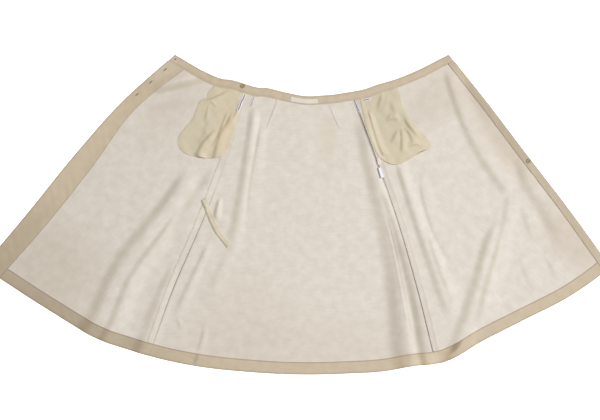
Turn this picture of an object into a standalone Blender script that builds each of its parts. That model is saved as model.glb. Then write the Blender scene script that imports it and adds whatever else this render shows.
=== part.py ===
"""A-line wrap skirt, opened out and laid flat with its wrong side up.

Metres, +Z up. The waist lies at +Y and the hem at -Y. The overlap front, with the
buttonholes, is at -X and the underlap front at +X. The origin is under the middle
of the outlined cloth, and the cloth rests on Z = 0.

Every piece is read from one map of the cloth. A place on it is given by how far it
is along the hem from the overlap edge, and by how far it is down from the top of
the waistband as a share of the skirt's length. The folds stand up from the flat.
"""

import math
from typing import NamedTuple

import bmesh
import bpy
import numpy as np
from mathutils import Matrix, Vector
from mathutils.bvhtree import BVHTree

MM = 0.001

# Driving sizes, in millimetres
SKIRT_LENGTH = 834.0        # top of the waistband to the hem, at the centre back
BAND_DEPTH = 27.0
HEM_DEPTH = 36.0
CLOTH = 1.6                 # wall of one layer of the main cloth
TURNED = 1.4                # wall of a layer turned onto the panels
BAND_WALL = 3.0             # the waistband is folded double
BAG_WALL = 2.2              # both layers of a pocket bag
RIBBON_WALL = 1.0
DART_WALL = 1.2
GAP = 0.3                   # between neighbouring pieces
BAG_REACH = 14.0            # how far round each point a piece bridges what it lies on
STRAP_REACH = 13.0
TAG_REACH = 5.0
RIBBON_REACH = 8.0
LABEL_REACH = 2.0
OVERLAP_ROWS = 21           # rows of faces between the waist seam and the hem's turn
BACK_ROWS = 20
UNDERLAP_ROWS = 30
FIRST_ALLOWANCE_ROW = 6     # the overlap side's allowance comes out below the pocket bag
WIDTH_GROWTH = 0.5          # how much a fold widens from its start to its end

BUTTONHOLE_FIRST = 56.0     # down the edge from the top of the waistband
BUTTONHOLE_STEP = 55.0
BUTTONHOLE_COUNT = 3
BUTTONHOLE_LENGTH = 12.0
BUTTONHOLE_SLIT = 1.2
BUTTONHOLE_INSET = 15.0     # in from the overlap edge
BUTTONHOLE_CUT_DEPTH = 20.0

BUTTON_RADIUS = 6.5
BUTTON_RIM = 1.1
BUTTON_HEIGHT = 2.6
BUTTON_DISH = 0.7
BUTTON_EDGE = 0.6           # how much the upper edge is rounded off
BUTTON_FOOT = 1.2           # how much narrower the underside is
BUTTON_HOLE_RADIUS = 0.8
BUTTON_HOLE_OFFSET = 1.7
BUTTON_HOLES = 4


class Section(NamedTuple):
    """One line that runs down the cloth from the top of the waistband to the hem."""

    name: str
    waist_x: float
    waist_y: float
    hem_x: float
    hem_y: float
    bow_high: float         # off the straight line a quarter of the way down, + to +X
    bow_middle: float
    bow_low: float
    columns: int            # columns of faces up to the next section


SECTIONS = (
    Section("overlap_edge", -363, 479, -940, -158, -22, -20, -8, 2),
    Section("overlap_facing", -314, 450, -889, -191, -35, -15, -2, 5),
    Section("overlap_outer", -274, 428, -745, -284, -12, -6, 0, 13),
    Section("overlap_inner", -223, 407, -589, -374, 0, 0, -3, 12),
    Section("overlap_allowance", -164, 395, -459, -418, 16, 12, -1, 1),
    Section("overlap_seam", -146, 389, -442, -423, 16, 12, -1, 11),
    Section("back_overlap_side", -85, 379, -295, -455, 8, 6, 0, 7),
    Section("back_overlap_inner", -28, 365, -151, -471, 3, 3, 0, 4),
    Section("centre_back", 29, 355, -4, -479, 0, 0, 0, 4),
    Section("back_underlap_inner", 77, 357, 140, -477, 3, 3, 3, 5),
    Section("back_underlap_side", 122, 361, 287, -466, 8, 12, 9, 4),
    Section("back_ridge", 146, 365, 335, -456, 11, 16, 12, 8),
    Section("underlap_seam", 166, 368, 419, -447, 12, 18, 13, 1),
    Section("underlap_allowance", 183, 371, 437, -444, 12, 18, 13, 2),
    Section("hem_corner", 197, 374, 458, -436, 10, 16, 12, 9),
    Section("underlap_inner", 239, 388, 551, -383, 6, 9, 6, 12),
    Section("underlap_middle", 305, 408, 686, -314, 3, 4, 3, 9),
    Section("underlap_outer", 374, 437, 821, -244, 1, 1, 1, 8),
    Section("underlap_facing", 439, 470, 922, -172, 4, 4, 5, 1),
    Section("underlap_edge", 457, 479, 940, -156, 4, 4, 5, 0),
)


class Fold(NamedTuple):
    """A soft ridge: four points down the middle of its steep flank, and its sizes."""

    name: str
    start_x: float
    start_y: float
    upper_x: float
    upper_y: float
    lower_x: float
    lower_y: float
    end_x: float
    end_y: float
    height: float
    steep: float            # width of the flank that the line runs down
    gentle: float           # width of the flank beyond the crest
    rise: float             # share of the length over which it rises
    fall: float             # share over which it dies out, 0 where it runs off the hem


PANEL_FOLDS = (
    Fold("overlap_main", -319, 154, -406, 25, -538, -143, -610, -296, 8.6, 42, 76, 0.15, 0.0),
    Fold("overlap_second", -349, 19, -415, -71, -496, -182, -559, -329, 4.4, 25, 44, 0.2, 0.0),
    Fold("overlap_short", -238, 157, -284, 88, -338, 4, -385, -107, 4.6, 34, 50, 0.2, 0.4),
    Fold("low_overlap_seam", -361, -131, -400, -206, -430, -278, -460, -359, 5.0, 30, 34, 0.3, 0.0),
    Fold("back_beside_seam", -257, -62, -289, -134, -333, -227, -379, -329, 3.4, 20, 24, 0.25, 0.3),
    Fold("back_long", -130, 340, -152, 190, -179, 20, -220, -161, 4.8, 28, 26, 0.12, 0.3),
    Fold("back_long_second", -103, 298, -120, 199, -139, 79, -151, -62, 3.0, 14, 34, 0.25, 0.35),
    Fold("back_long_low", -202, -107, -232, -161, -256, -209, -280, -272, 2.4, 26, 36, 0.4, 0.5),
    Fold("beside_strap", -230, 55, -239, 25, -244, 1, -244, -23, 4.4, 11, 15, 0.3, 0.3),
    Fold("low_crease_a", -277, -332, -281, -355, -288, -383, -301, -416, 2.2, 10, 18, 0.3, 0.3),
    Fold("back_ridge", 176, 322, 213, 139, 268, -92, 302, -392, 8.0, 50, 30, 0.15, 0.0),
    Fold("seam_valley", 250, 95, 294, -41, 335, -218, 370, -401, 5.6, 24, 30, 0.15, 0.0),
    Fold("underlap_first", 296, 163, 344, 7, 400, -158, 455, -320, 5.0, 26, 34, 0.1, 0.12),
    Fold("underlap_second", 365, 145, 377, 58, 413, -59, 482, -173, 3.0, 17, 40, 0.25, 0.35),
    Fold("underlap_second_low", 386, -32, 413, -122, 440, -197, 476, -281, 2.6, 16, 28, 0.3, 0.3),
    Fold("underlap_main", 608, 4, 569, -80, 536, -197, 473, -384, 8.0, 34, 46, 0.2, 0.0),
    Fold("underlap_turned", 629, 19, 606, -80, 574, -191, 535, -347, 5.6, 24, 48, 0.2, 0.2),
    Fold("underlap_high_a", 440, 440, 498, 271, 554, 163, 636, 49, 5.6, 28, 56, 0.12, 0.1),
    Fold("underlap_high_b", 634, 70, 628, 19, 622, -17, 614, -68, 4.0, 26, 40, 0.3, 0.35),
    Fold("underlap_edge_a", 503, 400, 533, 340, 563, 304, 593, 256, 3.2, 44, 44, 0.4, 0.4),
    Fold("underlap_edge_b", 650, 190, 685, 88, 743, -2, 804, -131, 5.8, 38, 58, 0.25, 0.4),
    Fold("underlap_low_a", 662, 34, 680, -2, 698, -53, 716, -107, 2.8, 20, 38, 0.4, 0.5),
    Fold("underlap_low_b", 662, -115, 677, -158, 692, -194, 719, -244, 2.0, 18, 32, 0.4, 0.3),
    Fold("underlap_low_c", 740, -115, 755, -146, 770, -176, 795, -212, 2.2, 18, 32, 0.4, 0.3),
    Fold("overlap_corner", -412, 366, -380, 376, -335, 389, -284, 400, 4.0, 30, 36, 0.45, 0.4),
)


class BagSection(NamedTuple):
    """One line across a pocket bag, from its -X edge to its +X edge."""

    left_x: float
    left_y: float
    right_x: float
    right_y: float
    dip: float              # how far it hangs toward the hem at the bag's lowest place


OVERLAP_BAG = (
    BagSection(-247, 388, -160, 366, 0),
    BagSection(-265, 366, -163, 352, 0),
    BagSection(-268, 350, -165, 339, 0),
    BagSection(-291, 339, -167, 326, 0),
    BagSection(-299, 317, -170, 307, 0),
    BagSection(-313, 286, -175, 280, 0),
    BagSection(-334, 260, -184, 250, 0),
    BagSection(-352, 235, -193, 223, 0),
    BagSection(-355, 207, -199, 201, 0),
    BagSection(-342, 188, -208, 186, 0),
    BagSection(-317, 174, -221, 173, 6),
)
OVERLAP_BAG_LOWEST = 0.6    # share across at which the bag dips
OVERLAP_BAG_FOLDS = (
    Fold("right_long", -188, 318, -206, 278, -230, 236, -249, 169, 3.4, 14, 22, 0.2, 0.0),
    Fold("second_long", -203, 315, -220, 277, -232, 245, -262, 190, 2.2, 7, 14, 0.2, 0.2),
    Fold("slant", -236, 262, -263, 234, -285, 208, -301, 172, 3.2, 14, 26, 0.25, 0.0),
    Fold("under_band", -193, 375, -238, 354, -262, 345, -287, 340, 2.2, 9, 16, 0.25, 0.3),
    Fold("belly", -262, 300, -272, 262, -285, 225, -305, 190, 1.6, 22, 36, 0.3, 0.3),
)
UNDERLAP_BAG = (
    BagSection(192, 345, 304, 380, 0),
    BagSection(196, 322, 314, 349, 0),
    BagSection(202, 294, 322, 318, 0),
    BagSection(210, 263, 340, 290, 0),
    BagSection(218, 239, 361, 262, 0),
    BagSection(226, 217, 384, 240, 3),
    BagSection(234, 198, 400, 219, 10),
    BagSection(241, 183, 402, 201, 21),
    BagSection(248, 172, 389, 191, 30),
)
UNDERLAP_BAG_LOWEST = 0.38
UNDERLAP_BAG_FOLDS = (
    Fold("left_edge", 213, 315, 232, 251, 247, 204, 262, 176, 2.6, 8, 16, 0.15, 0.1),
    Fold("upper_right", 282, 350, 284, 330, 290, 312, 300, 296, 1.8, 18, 22, 0.4, 0.4),
    Fold("facet", 268, 274, 282, 284, 298, 284, 313, 276, 2.4, 16, 18, 0.35, 0.35),
    Fold("down", 313, 264, 314, 240, 315, 215, 312, 172, 3.0, 9, 20, 0.2, 0.3),
    Fold("lower_left", 306, 258, 296, 242, 288, 226, 281, 206, 2.2, 12, 24, 0.35, 0.45),
    Fold("lower_right", 321, 262, 334, 246, 344, 228, 350, 200, 2.4, 12, 24, 0.3, 0.5),
    Fold("along_right", 315, 302, 332, 272, 350, 251, 374, 222, 2.8, 12, 20, 0.3, 0.35),
)
BAG_COLUMNS = 14
BAG_ROWS = 18
BAG_TOP_SHARE = 0.12        # share of the bag that is drawn up to the waistband
BAG_DIP_SHARPNESS = 1.5     # how pointed the bag's lowest place is

STRAP_PATH = ((-273, 41), (-266, 17), (-253, -17), (-235, -53), (-212, -83), (-202, -96))
STRAP_WIDTH = 13.0
STRAP_TWIST = 4.0           # how far one edge of the strap is rolled up at its middle


class Loop(NamedTuple):
    """A narrow ribbon sewn in at the root and turned back on itself at the tip."""

    name: str
    root_x: float
    root_y: float
    tip_x: float
    tip_y: float
    width: float


LOOPS = (
    Loop("hanger_loop_overlap_long", -155, 358, -175, 311, 4.4),
    Loop("hanger_loop_overlap_short", -127, 353, -141, 321, 3.0),
    Loop("hanger_loop_underlap_long", 177, 337, 194, 307, 4.4),
    Loop("hanger_loop_underlap_short", 203, 342, 221, 346, 3.0),
)
LOOP_SPREAD = 1.4           # the turn's radius, as a share of the ribbon's width

LABEL_LEFT = -15.0          # the centre back label, from X to X
LABEL_RIGHT = 63.0
LABEL_TOP = 9.5             # down from the top of the waistband
LABEL_DEPTH = 13.5


class Tag(NamedTuple):
    """A small flat label: its middle, its two sizes and how far it is turned."""

    name: str
    x: float
    y: float
    width: float
    length: float
    turn: float


TAGS = (
    Tag("care_label_upper", 247, 160, 12, 22, 12),
    Tag("care_label_lower", 254, 125, 17, 32, 16),
)


class Dart(NamedTuple):
    """A folded wedge: its stitched line runs from the waist seam to the tip."""

    name: str
    top_x: float
    top_y: float
    tip_x: float
    tip_y: float
    fold_width: float       # at the top, toward the centre back


DARTS = (
    Dart("dart_overlap_side", -59, 343, -88, 264, 12),
    Dart("dart_underlap_side", 109, 328, 131, 256, -12),
)
DART_TAPER = 0.9            # the wedge narrows by this share down to its tip

EDGE_BUTTON_DOWN = 398.0    # down the underlap edge from the top of the waistband
EDGE_BUTTON_INSET = 7.0
WAIST_BUTTON = (-160, 385)

# Colours as the photograph shows them: linear red, green and blue, then roughness
FINISHES = {
    "inner_cloth": ((0.72, 0.66, 0.59), 0.75),
    "outer_cloth": ((0.60, 0.49, 0.36), 0.6),
    "pocket_cloth": ((0.63, 0.55, 0.41), 0.7),
    "seam_cloth": ((0.68, 0.61, 0.52), 0.75),
    "ribbon": ((0.78, 0.75, 0.78), 0.4),
    "label": ((0.82, 0.78, 0.70), 0.6),
    "button": ((0.36, 0.30, 0.17), 0.35),
}

WAIST_SEAM = BAND_DEPTH / SKIRT_LENGTH
HEM_TURN = 1.0 - HEM_DEPTH / SKIRT_LENGTH
HALF_GAP_SHARE = GAP / 2 / SKIRT_LENGTH

WAIST = np.array([(row.waist_x, row.waist_y) for row in SECTIONS], float)
HEM = np.array([(row.hem_x, row.hem_y) for row in SECTIONS], float)
BOWS = np.array([(row.bow_high, row.bow_middle, row.bow_low) for row in SECTIONS], float)
ALONG_HEM = np.concatenate(([0.0], np.cumsum(np.linalg.norm(np.diff(HEM, axis=0), axis=1))))
NAMES = [row.name for row in SECTIONS]


def smooth(knots, values, at):
    """Read a smooth curve that passes through every value."""
    knots = np.asarray(knots, float)
    values = np.asarray(values, float)
    at = np.asarray(at, float)
    slopes = np.gradient(values, knots, axis=0)
    left = np.clip(np.searchsorted(knots, at, side="right") - 1, 0, len(knots) - 2)
    span = knots[left + 1] - knots[left]
    t = (at - knots[left]) / span
    if values.ndim > 1:
        t = t[..., None]
        span = span[..., None]
    start = (1 + 2 * t) * (1 - t) ** 2 * values[left]
    end = t * t * (3 - 2 * t) * values[left + 1]
    leave = t * (1 - t) ** 2 * span * slopes[left]
    arrive = t * t * (t - 1) * span * slopes[left + 1]
    return start + end + leave + arrive


def ramp(x):
    """Go softly from 0 to 1."""
    x = np.clip(x, 0.0, 1.0)
    return x * x * (3 - 2 * x)


def place_on_cloth(along, down):
    """Return the flat places at the distances along the hem and one share down."""
    waist = smooth(ALONG_HEM, WAIST, along)
    run = smooth(ALONG_HEM, HEM, along) - waist
    shares = smooth((0, 0.25, 0.5, 0.75, 1), np.eye(5), np.asarray(down, float))[1:4]
    bow = smooth(ALONG_HEM, BOWS, along) @ shares
    side = np.stack((-run[..., 1], run[..., 0]), axis=-1)
    side /= np.linalg.norm(side, axis=-1, keepdims=True)
    return waist + down * run + bow[..., None] * side


def fold_height(places, folds):
    """Return how high the folds lift the cloth at each flat place."""
    total = np.zeros(places.shape[:-1])
    for fold in folds:
        start = np.array((fold.start_x, fold.start_y), float)
        run = np.array((fold.end_x, fold.end_y), float) - start
        length = np.linalg.norm(run)
        side = np.array((-run[1], run[0])) / length
        inner = np.array(((fold.upper_x, fold.upper_y), (fold.lower_x, fold.lower_y))) - start
        knots = np.concatenate(((0.0,), inner @ run / length ** 2, (1.0,)))
        bows = np.concatenate(((0.0,), inner @ side, (0.0,)))
        t = (places - start) @ run / length ** 2
        growth = 1 - WIDTH_GROWTH / 2 + WIDTH_GROWTH * np.clip(t, 0, 1)
        off = (places - start) @ side - smooth(knots, bows, np.clip(t, 0, 1))
        off = off / growth - fold.steep / 2
        width = np.where(off < 0, fold.steep, fold.gentle)
        across = 0.5 + 0.5 * np.cos(math.pi * np.clip(np.abs(off) / width, 0, 1))
        ends = ramp(t / fold.rise)
        if fold.fall:
            ends = ends * ramp((1 - t) / fold.fall)
        total += fold.height * across * ends
    return total


def column_places(first, last):
    """Return the distances along the hem of the columns between two sections."""
    places = []
    for index in range(NAMES.index(first), NAMES.index(last)):
        steps = SECTIONS[index].columns
        places.extend(np.linspace(ALONG_HEM[index], ALONG_HEM[index + 1], steps + 1)[:-1])
    places.append(ALONG_HEM[NAMES.index(last)])
    return np.array(places)


def column_of(first, name):
    """Return the column that a section has in a panel that starts at the first section."""
    return sum(row.columns for row in SECTIONS[NAMES.index(first):NAMES.index(name)])


def body_rows(count):
    """Return the shares down at which a panel's rows stand, from the waist seam on."""
    rows = np.linspace(WAIST_SEAM, HEM_TURN, count + 1)
    rows[0] += HALF_GAP_SHARE
    return np.append(rows, 1.0)


def cloth_grid(along, rows):
    """Return the grid of points of the cloth's underside, folds included."""
    flat = np.stack([place_on_cloth(along, down) for down in rows], axis=1)
    height = fold_height(flat, PANEL_FOLDS)
    return np.concatenate((flat, height[..., None]), axis=-1)


def draw_in(grid, left=0.0, right=0.0, top=0.0, bottom=0.0):
    """Move a grid's borders inward, each along its own faces."""
    grid = grid.copy()
    borders = (
        (grid[0], grid[1], left),
        (grid[-1], grid[-2], right),
        (grid[:, 0], grid[:, 1], top),
        (grid[:, -1], grid[:, -2], bottom),
    )
    for border, inner, distance in borders:
        inward = inner - border
        border += inward / np.linalg.norm(inward, axis=-1, keepdims=True) * distance
    return grid


def make_collection(name):
    """Return a new collection in the scene."""
    collection = bpy.data.collections.new(name)
    bpy.context.scene.collection.children.link(collection)
    return collection


def make_material(name, finish):
    """Return a plain material with one of the finishes."""
    colour, roughness = FINISHES[finish]
    material = bpy.data.materials.new(name)
    material.use_nodes = True
    shader = material.node_tree.nodes["Principled BSDF"]
    shader.inputs["Base Color"].default_value = (*colour, 1.0)
    shader.inputs["Roughness"].default_value = roughness
    shader.inputs["Metallic"].default_value = 0.0
    return material


class Skirt:
    """The pieces made so far, and the pile of cloth that the next piece lies on."""

    def __init__(self):
        self.pieces = make_collection("wrap_skirt")
        self.cutters = make_collection("cutters")
        self.root = bpy.data.objects.new("wrap_skirt_root", None)
        self.pieces.objects.link(self.root)
        self.pile = []

    def add(self, name, bm, finish):
        """Turn a finished body into a named object that stands at its own middle."""
        bmesh.ops.recalc_face_normals(bm, faces=bm.faces)
        self.pile.append(BVHTree.FromBMesh(bm))
        middle = sum((vertex.co for vertex in bm.verts), Vector()) / len(bm.verts)
        bmesh.ops.translate(bm, verts=bm.verts, vec=-middle)
        mesh = bpy.data.meshes.new(name)
        bm.to_mesh(mesh)
        bm.free()
        mesh.shade_smooth()
        mesh.set_sharp_from_angle(angle=math.radians(40))
        piece = bpy.data.objects.new(name, mesh)
        self.finish(piece, finish)
        piece.location = middle
        return piece

    def finish(self, piece, finish):
        """Give an object its material, its collection and its parent."""
        piece.data.materials.clear()
        piece.data.materials.append(make_material(piece.name, finish))
        self.pieces.objects.link(piece)
        piece.parent = self.root

    def add_wall(self, name, grid, wall, finish):
        """Make a cloth wall that stands straight up from a grid of points."""
        columns, rows = grid.shape[0] - 1, grid.shape[1] - 1
        bm = bmesh.new()
        bmesh.ops.create_grid(bm, x_segments=columns, y_segments=rows, size=0.5)
        for vertex in bm.verts:
            column = round((vertex.co.x + 0.5) * columns)
            row = round((vertex.co.y + 0.5) * rows)
            vertex.co = Vector(grid[column, row]) * MM
        raised = bmesh.ops.extrude_face_region(bm, geom=bm.faces[:])
        lifted = [item for item in raised["geom"] if isinstance(item, bmesh.types.BMVert)]
        bmesh.ops.translate(bm, verts=lifted, vec=(0, 0, wall * MM))
        return self.add(name, bm, finish)

    def top(self, x, y, reach):
        """Return the height of the highest cloth within reach of a place."""
        highest = 0.0
        for ring in (0.0, 0.5, 1.0):
            for step in range(8 if ring else 1):
                angle = step * math.pi / 4
                spot_x = x + ring * reach * math.cos(angle)
                spot_y = y + ring * reach * math.sin(angle)
                above = Vector((spot_x * MM, spot_y * MM, 1.0))
                for tree in self.pile:
                    hit = tree.ray_cast(above, Vector((0, 0, -1)))[0]
                    if hit:
                        highest = max(highest, hit.z / MM)
        return highest

    def lay(self, flat, reach):
        """Lay a grid of flat places on the pile, clear of what is under it."""
        grid = np.concatenate((flat, np.zeros(flat.shape[:-1] + (1,))), axis=-1)
        for column in range(flat.shape[0]):
            for row in range(flat.shape[1]):
                x, y = flat[column, row]
                grid[column, row, 2] = self.top(x, y, reach) + GAP
        return grid


def make_panels(skirt):
    """Make the three panels and return the grid of points of each."""
    half = GAP / 2
    overlap = cloth_grid(column_places("overlap_edge", "overlap_seam"), body_rows(OVERLAP_ROWS))
    back = cloth_grid(column_places("overlap_seam", "underlap_seam"), body_rows(BACK_ROWS))
    underlap = cloth_grid(
        column_places("underlap_seam", "underlap_edge"), body_rows(UNDERLAP_ROWS))
    grids = {
        "overlap": draw_in(overlap, right=half),
        "back": draw_in(back, left=half, right=half),
        "underlap": draw_in(underlap, left=half),
    }
    skirt.add_wall("overlap_front_panel", grids["overlap"], CLOTH, "inner_cloth")
    skirt.add_wall("back_panel", grids["back"], CLOTH, "inner_cloth")
    skirt.add_wall("underlap_front_panel", grids["underlap"], CLOTH, "inner_cloth")
    return grids


def on_panel(grid):
    """Return points moved up from a panel's underside to just above its top."""
    return grid + np.array((0, 0, CLOTH + GAP))


def make_waistband(skirt):
    """Make the waistband that runs along all three panels."""
    along = column_places("overlap_edge", "underlap_edge")[::2]
    along[-1] = ALONG_HEM[-1]
    rows = np.linspace(0, WAIST_SEAM - HALF_GAP_SHARE, 3)
    flat = np.stack([place_on_cloth(along, down) for down in rows], axis=1)
    grid = np.concatenate((flat, np.zeros(flat.shape[:-1] + (1,))), axis=-1)
    skirt.add_wall("waistband", grid, BAND_WALL, "outer_cloth")


def make_facings(skirt, grids):
    """Make the wide facing of the overlap edge and the narrow one of the underlap edge."""
    wide = column_of("overlap_edge", "overlap_facing")
    narrow = column_of("underlap_seam", "underlap_facing")
    skirt.add_wall(
        "overlap_facing", on_panel(grids["overlap"][:wide + 1]), TURNED, "outer_cloth")
    skirt.add_wall(
        "underlap_facing", on_panel(grids["underlap"][narrow:]), TURNED, "outer_cloth")


def make_hem(skirt, grids):
    """Make the turned-up hem in the three panels' parts, between the facings."""
    wide = column_of("overlap_edge", "overlap_facing")
    narrow = column_of("underlap_seam", "underlap_facing")
    parts = (
        ("hem_overlap", grids["overlap"][wide:], GAP, 0),
        ("hem_back", grids["back"], 0, 0),
        ("hem_underlap", grids["underlap"][:narrow + 1], 0, GAP),
    )
    for name, grid, left, right in parts:
        turned = draw_in(on_panel(grid[:, -2:]), left=left, right=right)
        skirt.add_wall(name, turned, TURNED, "outer_cloth")


def make_allowances(skirt, grids):
    """Make the overlocked allowances of the side seams, laid toward the fronts."""
    inner = column_of("overlap_edge", "overlap_allowance")
    outer = column_of("underlap_seam", "underlap_allowance")
    overlap = on_panel(grids["overlap"][inner:, FIRST_ALLOWANCE_ROW:-1])
    underlap = on_panel(grids["underlap"][:outer + 1, :-1])
    skirt.add_wall(
        "seam_allowance_overlap_side", draw_in(overlap, bottom=GAP), TURNED, "seam_cloth")
    skirt.add_wall(
        "seam_allowance_underlap_side", draw_in(underlap, bottom=GAP), TURNED, "seam_cloth")


def make_darts(skirt):
    """Make the folded wedges of the two back darts."""
    for dart in DARTS:
        rows = np.linspace(0, 1, 5)
        across = np.linspace(0, 1, 3)
        line_x = dart.top_x + rows * (dart.tip_x - dart.top_x)
        line_y = dart.top_y + rows * (dart.tip_y - dart.top_y)
        width = dart.fold_width * (1 - DART_TAPER * rows)
        x = line_x[None, :] + across[:, None] * width[None, :]
        y = np.broadcast_to(line_y[None, :], x.shape)
        grid = skirt.lay(np.stack((x, y), axis=-1), RIBBON_REACH)
        skirt.add_wall(dart.name, grid, DART_WALL, "inner_cloth")


def bag_flat(sections, lowest):
    """Return the flat grid of a pocket bag from its sections."""
    knots = np.linspace(0, 1, len(sections))
    down = np.linspace(0, 1, BAG_ROWS + 1)
    across = np.linspace(0, 1, BAG_COLUMNS + 1)
    lines = smooth(knots, np.array(sections, float), down)
    left, right, dip = lines[:, 0:2], lines[:, 2:4], lines[:, 4]
    flat = left[None] + across[:, None, None] * (right - left)[None]
    hang = np.sin(math.pi * across ** (math.log(0.5) / math.log(lowest))) ** BAG_DIP_SHARPNESS
    flat[..., 1] -= hang[:, None] * dip[None]
    seam = np.array([place_on_cloth(along, WAIST_SEAM) for along in np.arange(ALONG_HEM[-1])])
    to_band = np.interp(flat[:, 0, 0], seam[:, 0], seam[:, 1]) - GAP - flat[:, 0, 1]
    flat[..., 1] += to_band[:, None] * ramp(1 - down / BAG_TOP_SHARE)[None]
    return flat


def make_pocket_bags(skirt):
    """Make the two crumpled pocket bags, which lie toward the fronts."""
    bags = (
        ("pocket_bag_overlap_side", OVERLAP_BAG, OVERLAP_BAG_LOWEST, OVERLAP_BAG_FOLDS),
        ("pocket_bag_underlap_side", UNDERLAP_BAG, UNDERLAP_BAG_LOWEST, UNDERLAP_BAG_FOLDS),
    )
    for name, sections, lowest, folds in bags:
        flat = bag_flat(sections, lowest)
        grid = skirt.lay(flat, BAG_REACH)
        grid[..., 2] += fold_height(flat, folds)
        skirt.add_wall(name, grid, BAG_WALL, "pocket_cloth")


def ribbon_flat(path, width):
    """Return the flat grid of a ribbon of one width along a path."""
    path = np.asarray(path, float)
    run = np.gradient(path, axis=0)
    run /= np.linalg.norm(run, axis=1, keepdims=True)
    side = np.stack((-run[:, 1], run[:, 0]), axis=1)
    edges = [path + offset * width * side for offset in (-0.5, 0.0, 0.5)]
    return np.stack(edges, axis=0)


def make_strap(skirt):
    """Make the stay strap, which leaves the overlap side's seam and lies twisted."""
    knots = np.linspace(0, 1, len(STRAP_PATH))
    steps = np.linspace(0, 1, 15)
    flat = ribbon_flat(smooth(knots, STRAP_PATH, steps), STRAP_WIDTH)
    grid = skirt.lay(flat, STRAP_REACH)
    grid[0, :, 2] += STRAP_TWIST * np.sin(math.pi * steps)
    skirt.add_wall("stay_strap", grid, CLOTH, "outer_cloth")


def loop_path(loop):
    """Return the path of a ribbon down to its tip, round it and back up."""
    root = np.array((loop.root_x, loop.root_y), float)
    tip = np.array((loop.tip_x, loop.tip_y), float)
    run = (tip - root) / np.linalg.norm(tip - root)
    side = np.array((-run[1], run[0]))
    radius = loop.width / 2 * LOOP_SPREAD
    centre = tip - run * radius
    down = [root + t * (centre - root) - side * radius for t in np.linspace(0, 0.9, 5)]
    angles = np.linspace(0, math.pi, 9)
    turn = [centre - side * radius * math.cos(a) + run * radius * math.sin(a) for a in angles]
    back = [centre + t * (root - centre) + side * radius for t in np.linspace(0.1, 1, 5)]
    return down + turn + back


def make_loops(skirt):
    """Make the hanger ribbons at the waist, each doubled back at its tip."""
    for loop in LOOPS:
        flat = ribbon_flat(loop_path(loop), loop.width)
        skirt.add_wall(loop.name, skirt.lay(flat, RIBBON_REACH), RIBBON_WALL, "ribbon")


def make_labels(skirt):
    """Make the bare centre back label and the two leaves of the bare care label."""
    ends = [np.interp(x, WAIST[:, 0], ALONG_HEM) for x in (LABEL_LEFT, LABEL_RIGHT)]
    along = np.linspace(*ends, 7)
    shares = [LABEL_TOP / SKIRT_LENGTH, (LABEL_TOP + LABEL_DEPTH) / SKIRT_LENGTH]
    flat = np.stack([place_on_cloth(along, down) for down in shares], axis=1)
    skirt.add_wall("back_label", skirt.lay(flat, LABEL_REACH), RIBBON_WALL, "label")
    for tag in TAGS:
        turn = Matrix.Rotation(math.radians(tag.turn), 2)
        across = np.linspace(-tag.width / 2, tag.width / 2, 3)
        down = np.linspace(tag.length / 2, -tag.length / 2, 5)
        flat = np.array([[turn @ Vector((x, y)) for y in down] for x in across])
        grid = skirt.lay(flat + np.array((tag.x, tag.y)), TAG_REACH)
        skirt.add_wall(tag.name, grid, RIBBON_WALL, "ribbon")


def edge_place(section, distance, inset):
    """Return a place down an edge of the skirt and in from it, and the edge's direction."""
    index = NAMES.index(section)
    length = np.linalg.norm(HEM[index] - WAIST[index])
    inward = 1.0 if index == 0 else -1.0
    down = distance / length
    spot, inner = place_on_cloth(ALONG_HEM[index] + np.array((0, inward)), down)
    run = place_on_cloth(ALONG_HEM[index], down + 0.01) - spot
    step = (inner - spot) / np.linalg.norm(inner - spot)
    return spot + step * inset, math.atan2(run[1], run[0])


def cut_buttonholes(skirt):
    """Cut the slits of the buttonholes through the overlap edge and its facing."""
    bm = bmesh.new()
    for step in range(BUTTONHOLE_COUNT):
        distance = BUTTONHOLE_FIRST + step * BUTTONHOLE_STEP
        spot, angle = edge_place("overlap_edge", distance, BUTTONHOLE_INSET)
        place = Matrix.Translation((spot[0] * MM, spot[1] * MM, 0))
        turn = Matrix.Rotation(angle, 4, "Z")
        size = Matrix.Diagonal((
            BUTTONHOLE_LENGTH * MM, BUTTONHOLE_SLIT * MM, BUTTONHOLE_CUT_DEPTH * MM, 1))
        bmesh.ops.create_cube(bm, size=1.0, matrix=place @ turn @ size)
    mesh = bpy.data.meshes.new("buttonhole_cutter")
    bm.to_mesh(mesh)
    bm.free()
    cutter = bpy.data.objects.new("buttonhole_cutter", mesh)
    hide_cutter(skirt, cutter)
    for name in ("overlap_front_panel", "overlap_facing"):
        cut(bpy.data.objects[name], cutter)


def hide_cutter(skirt, cutter):
    """Put a cutter where it shows as a wire and isn't part of the model."""
    skirt.cutters.objects.link(cutter)
    cutter.hide_render = True
    cutter.display_type = "WIRE"


def cut(piece, cutter):
    """Cut one object with another."""
    boolean = piece.modifiers.new("holes", "BOOLEAN")
    boolean.operation = "DIFFERENCE"
    boolean.solver = "EXACT"
    boolean.object = cutter


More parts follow.
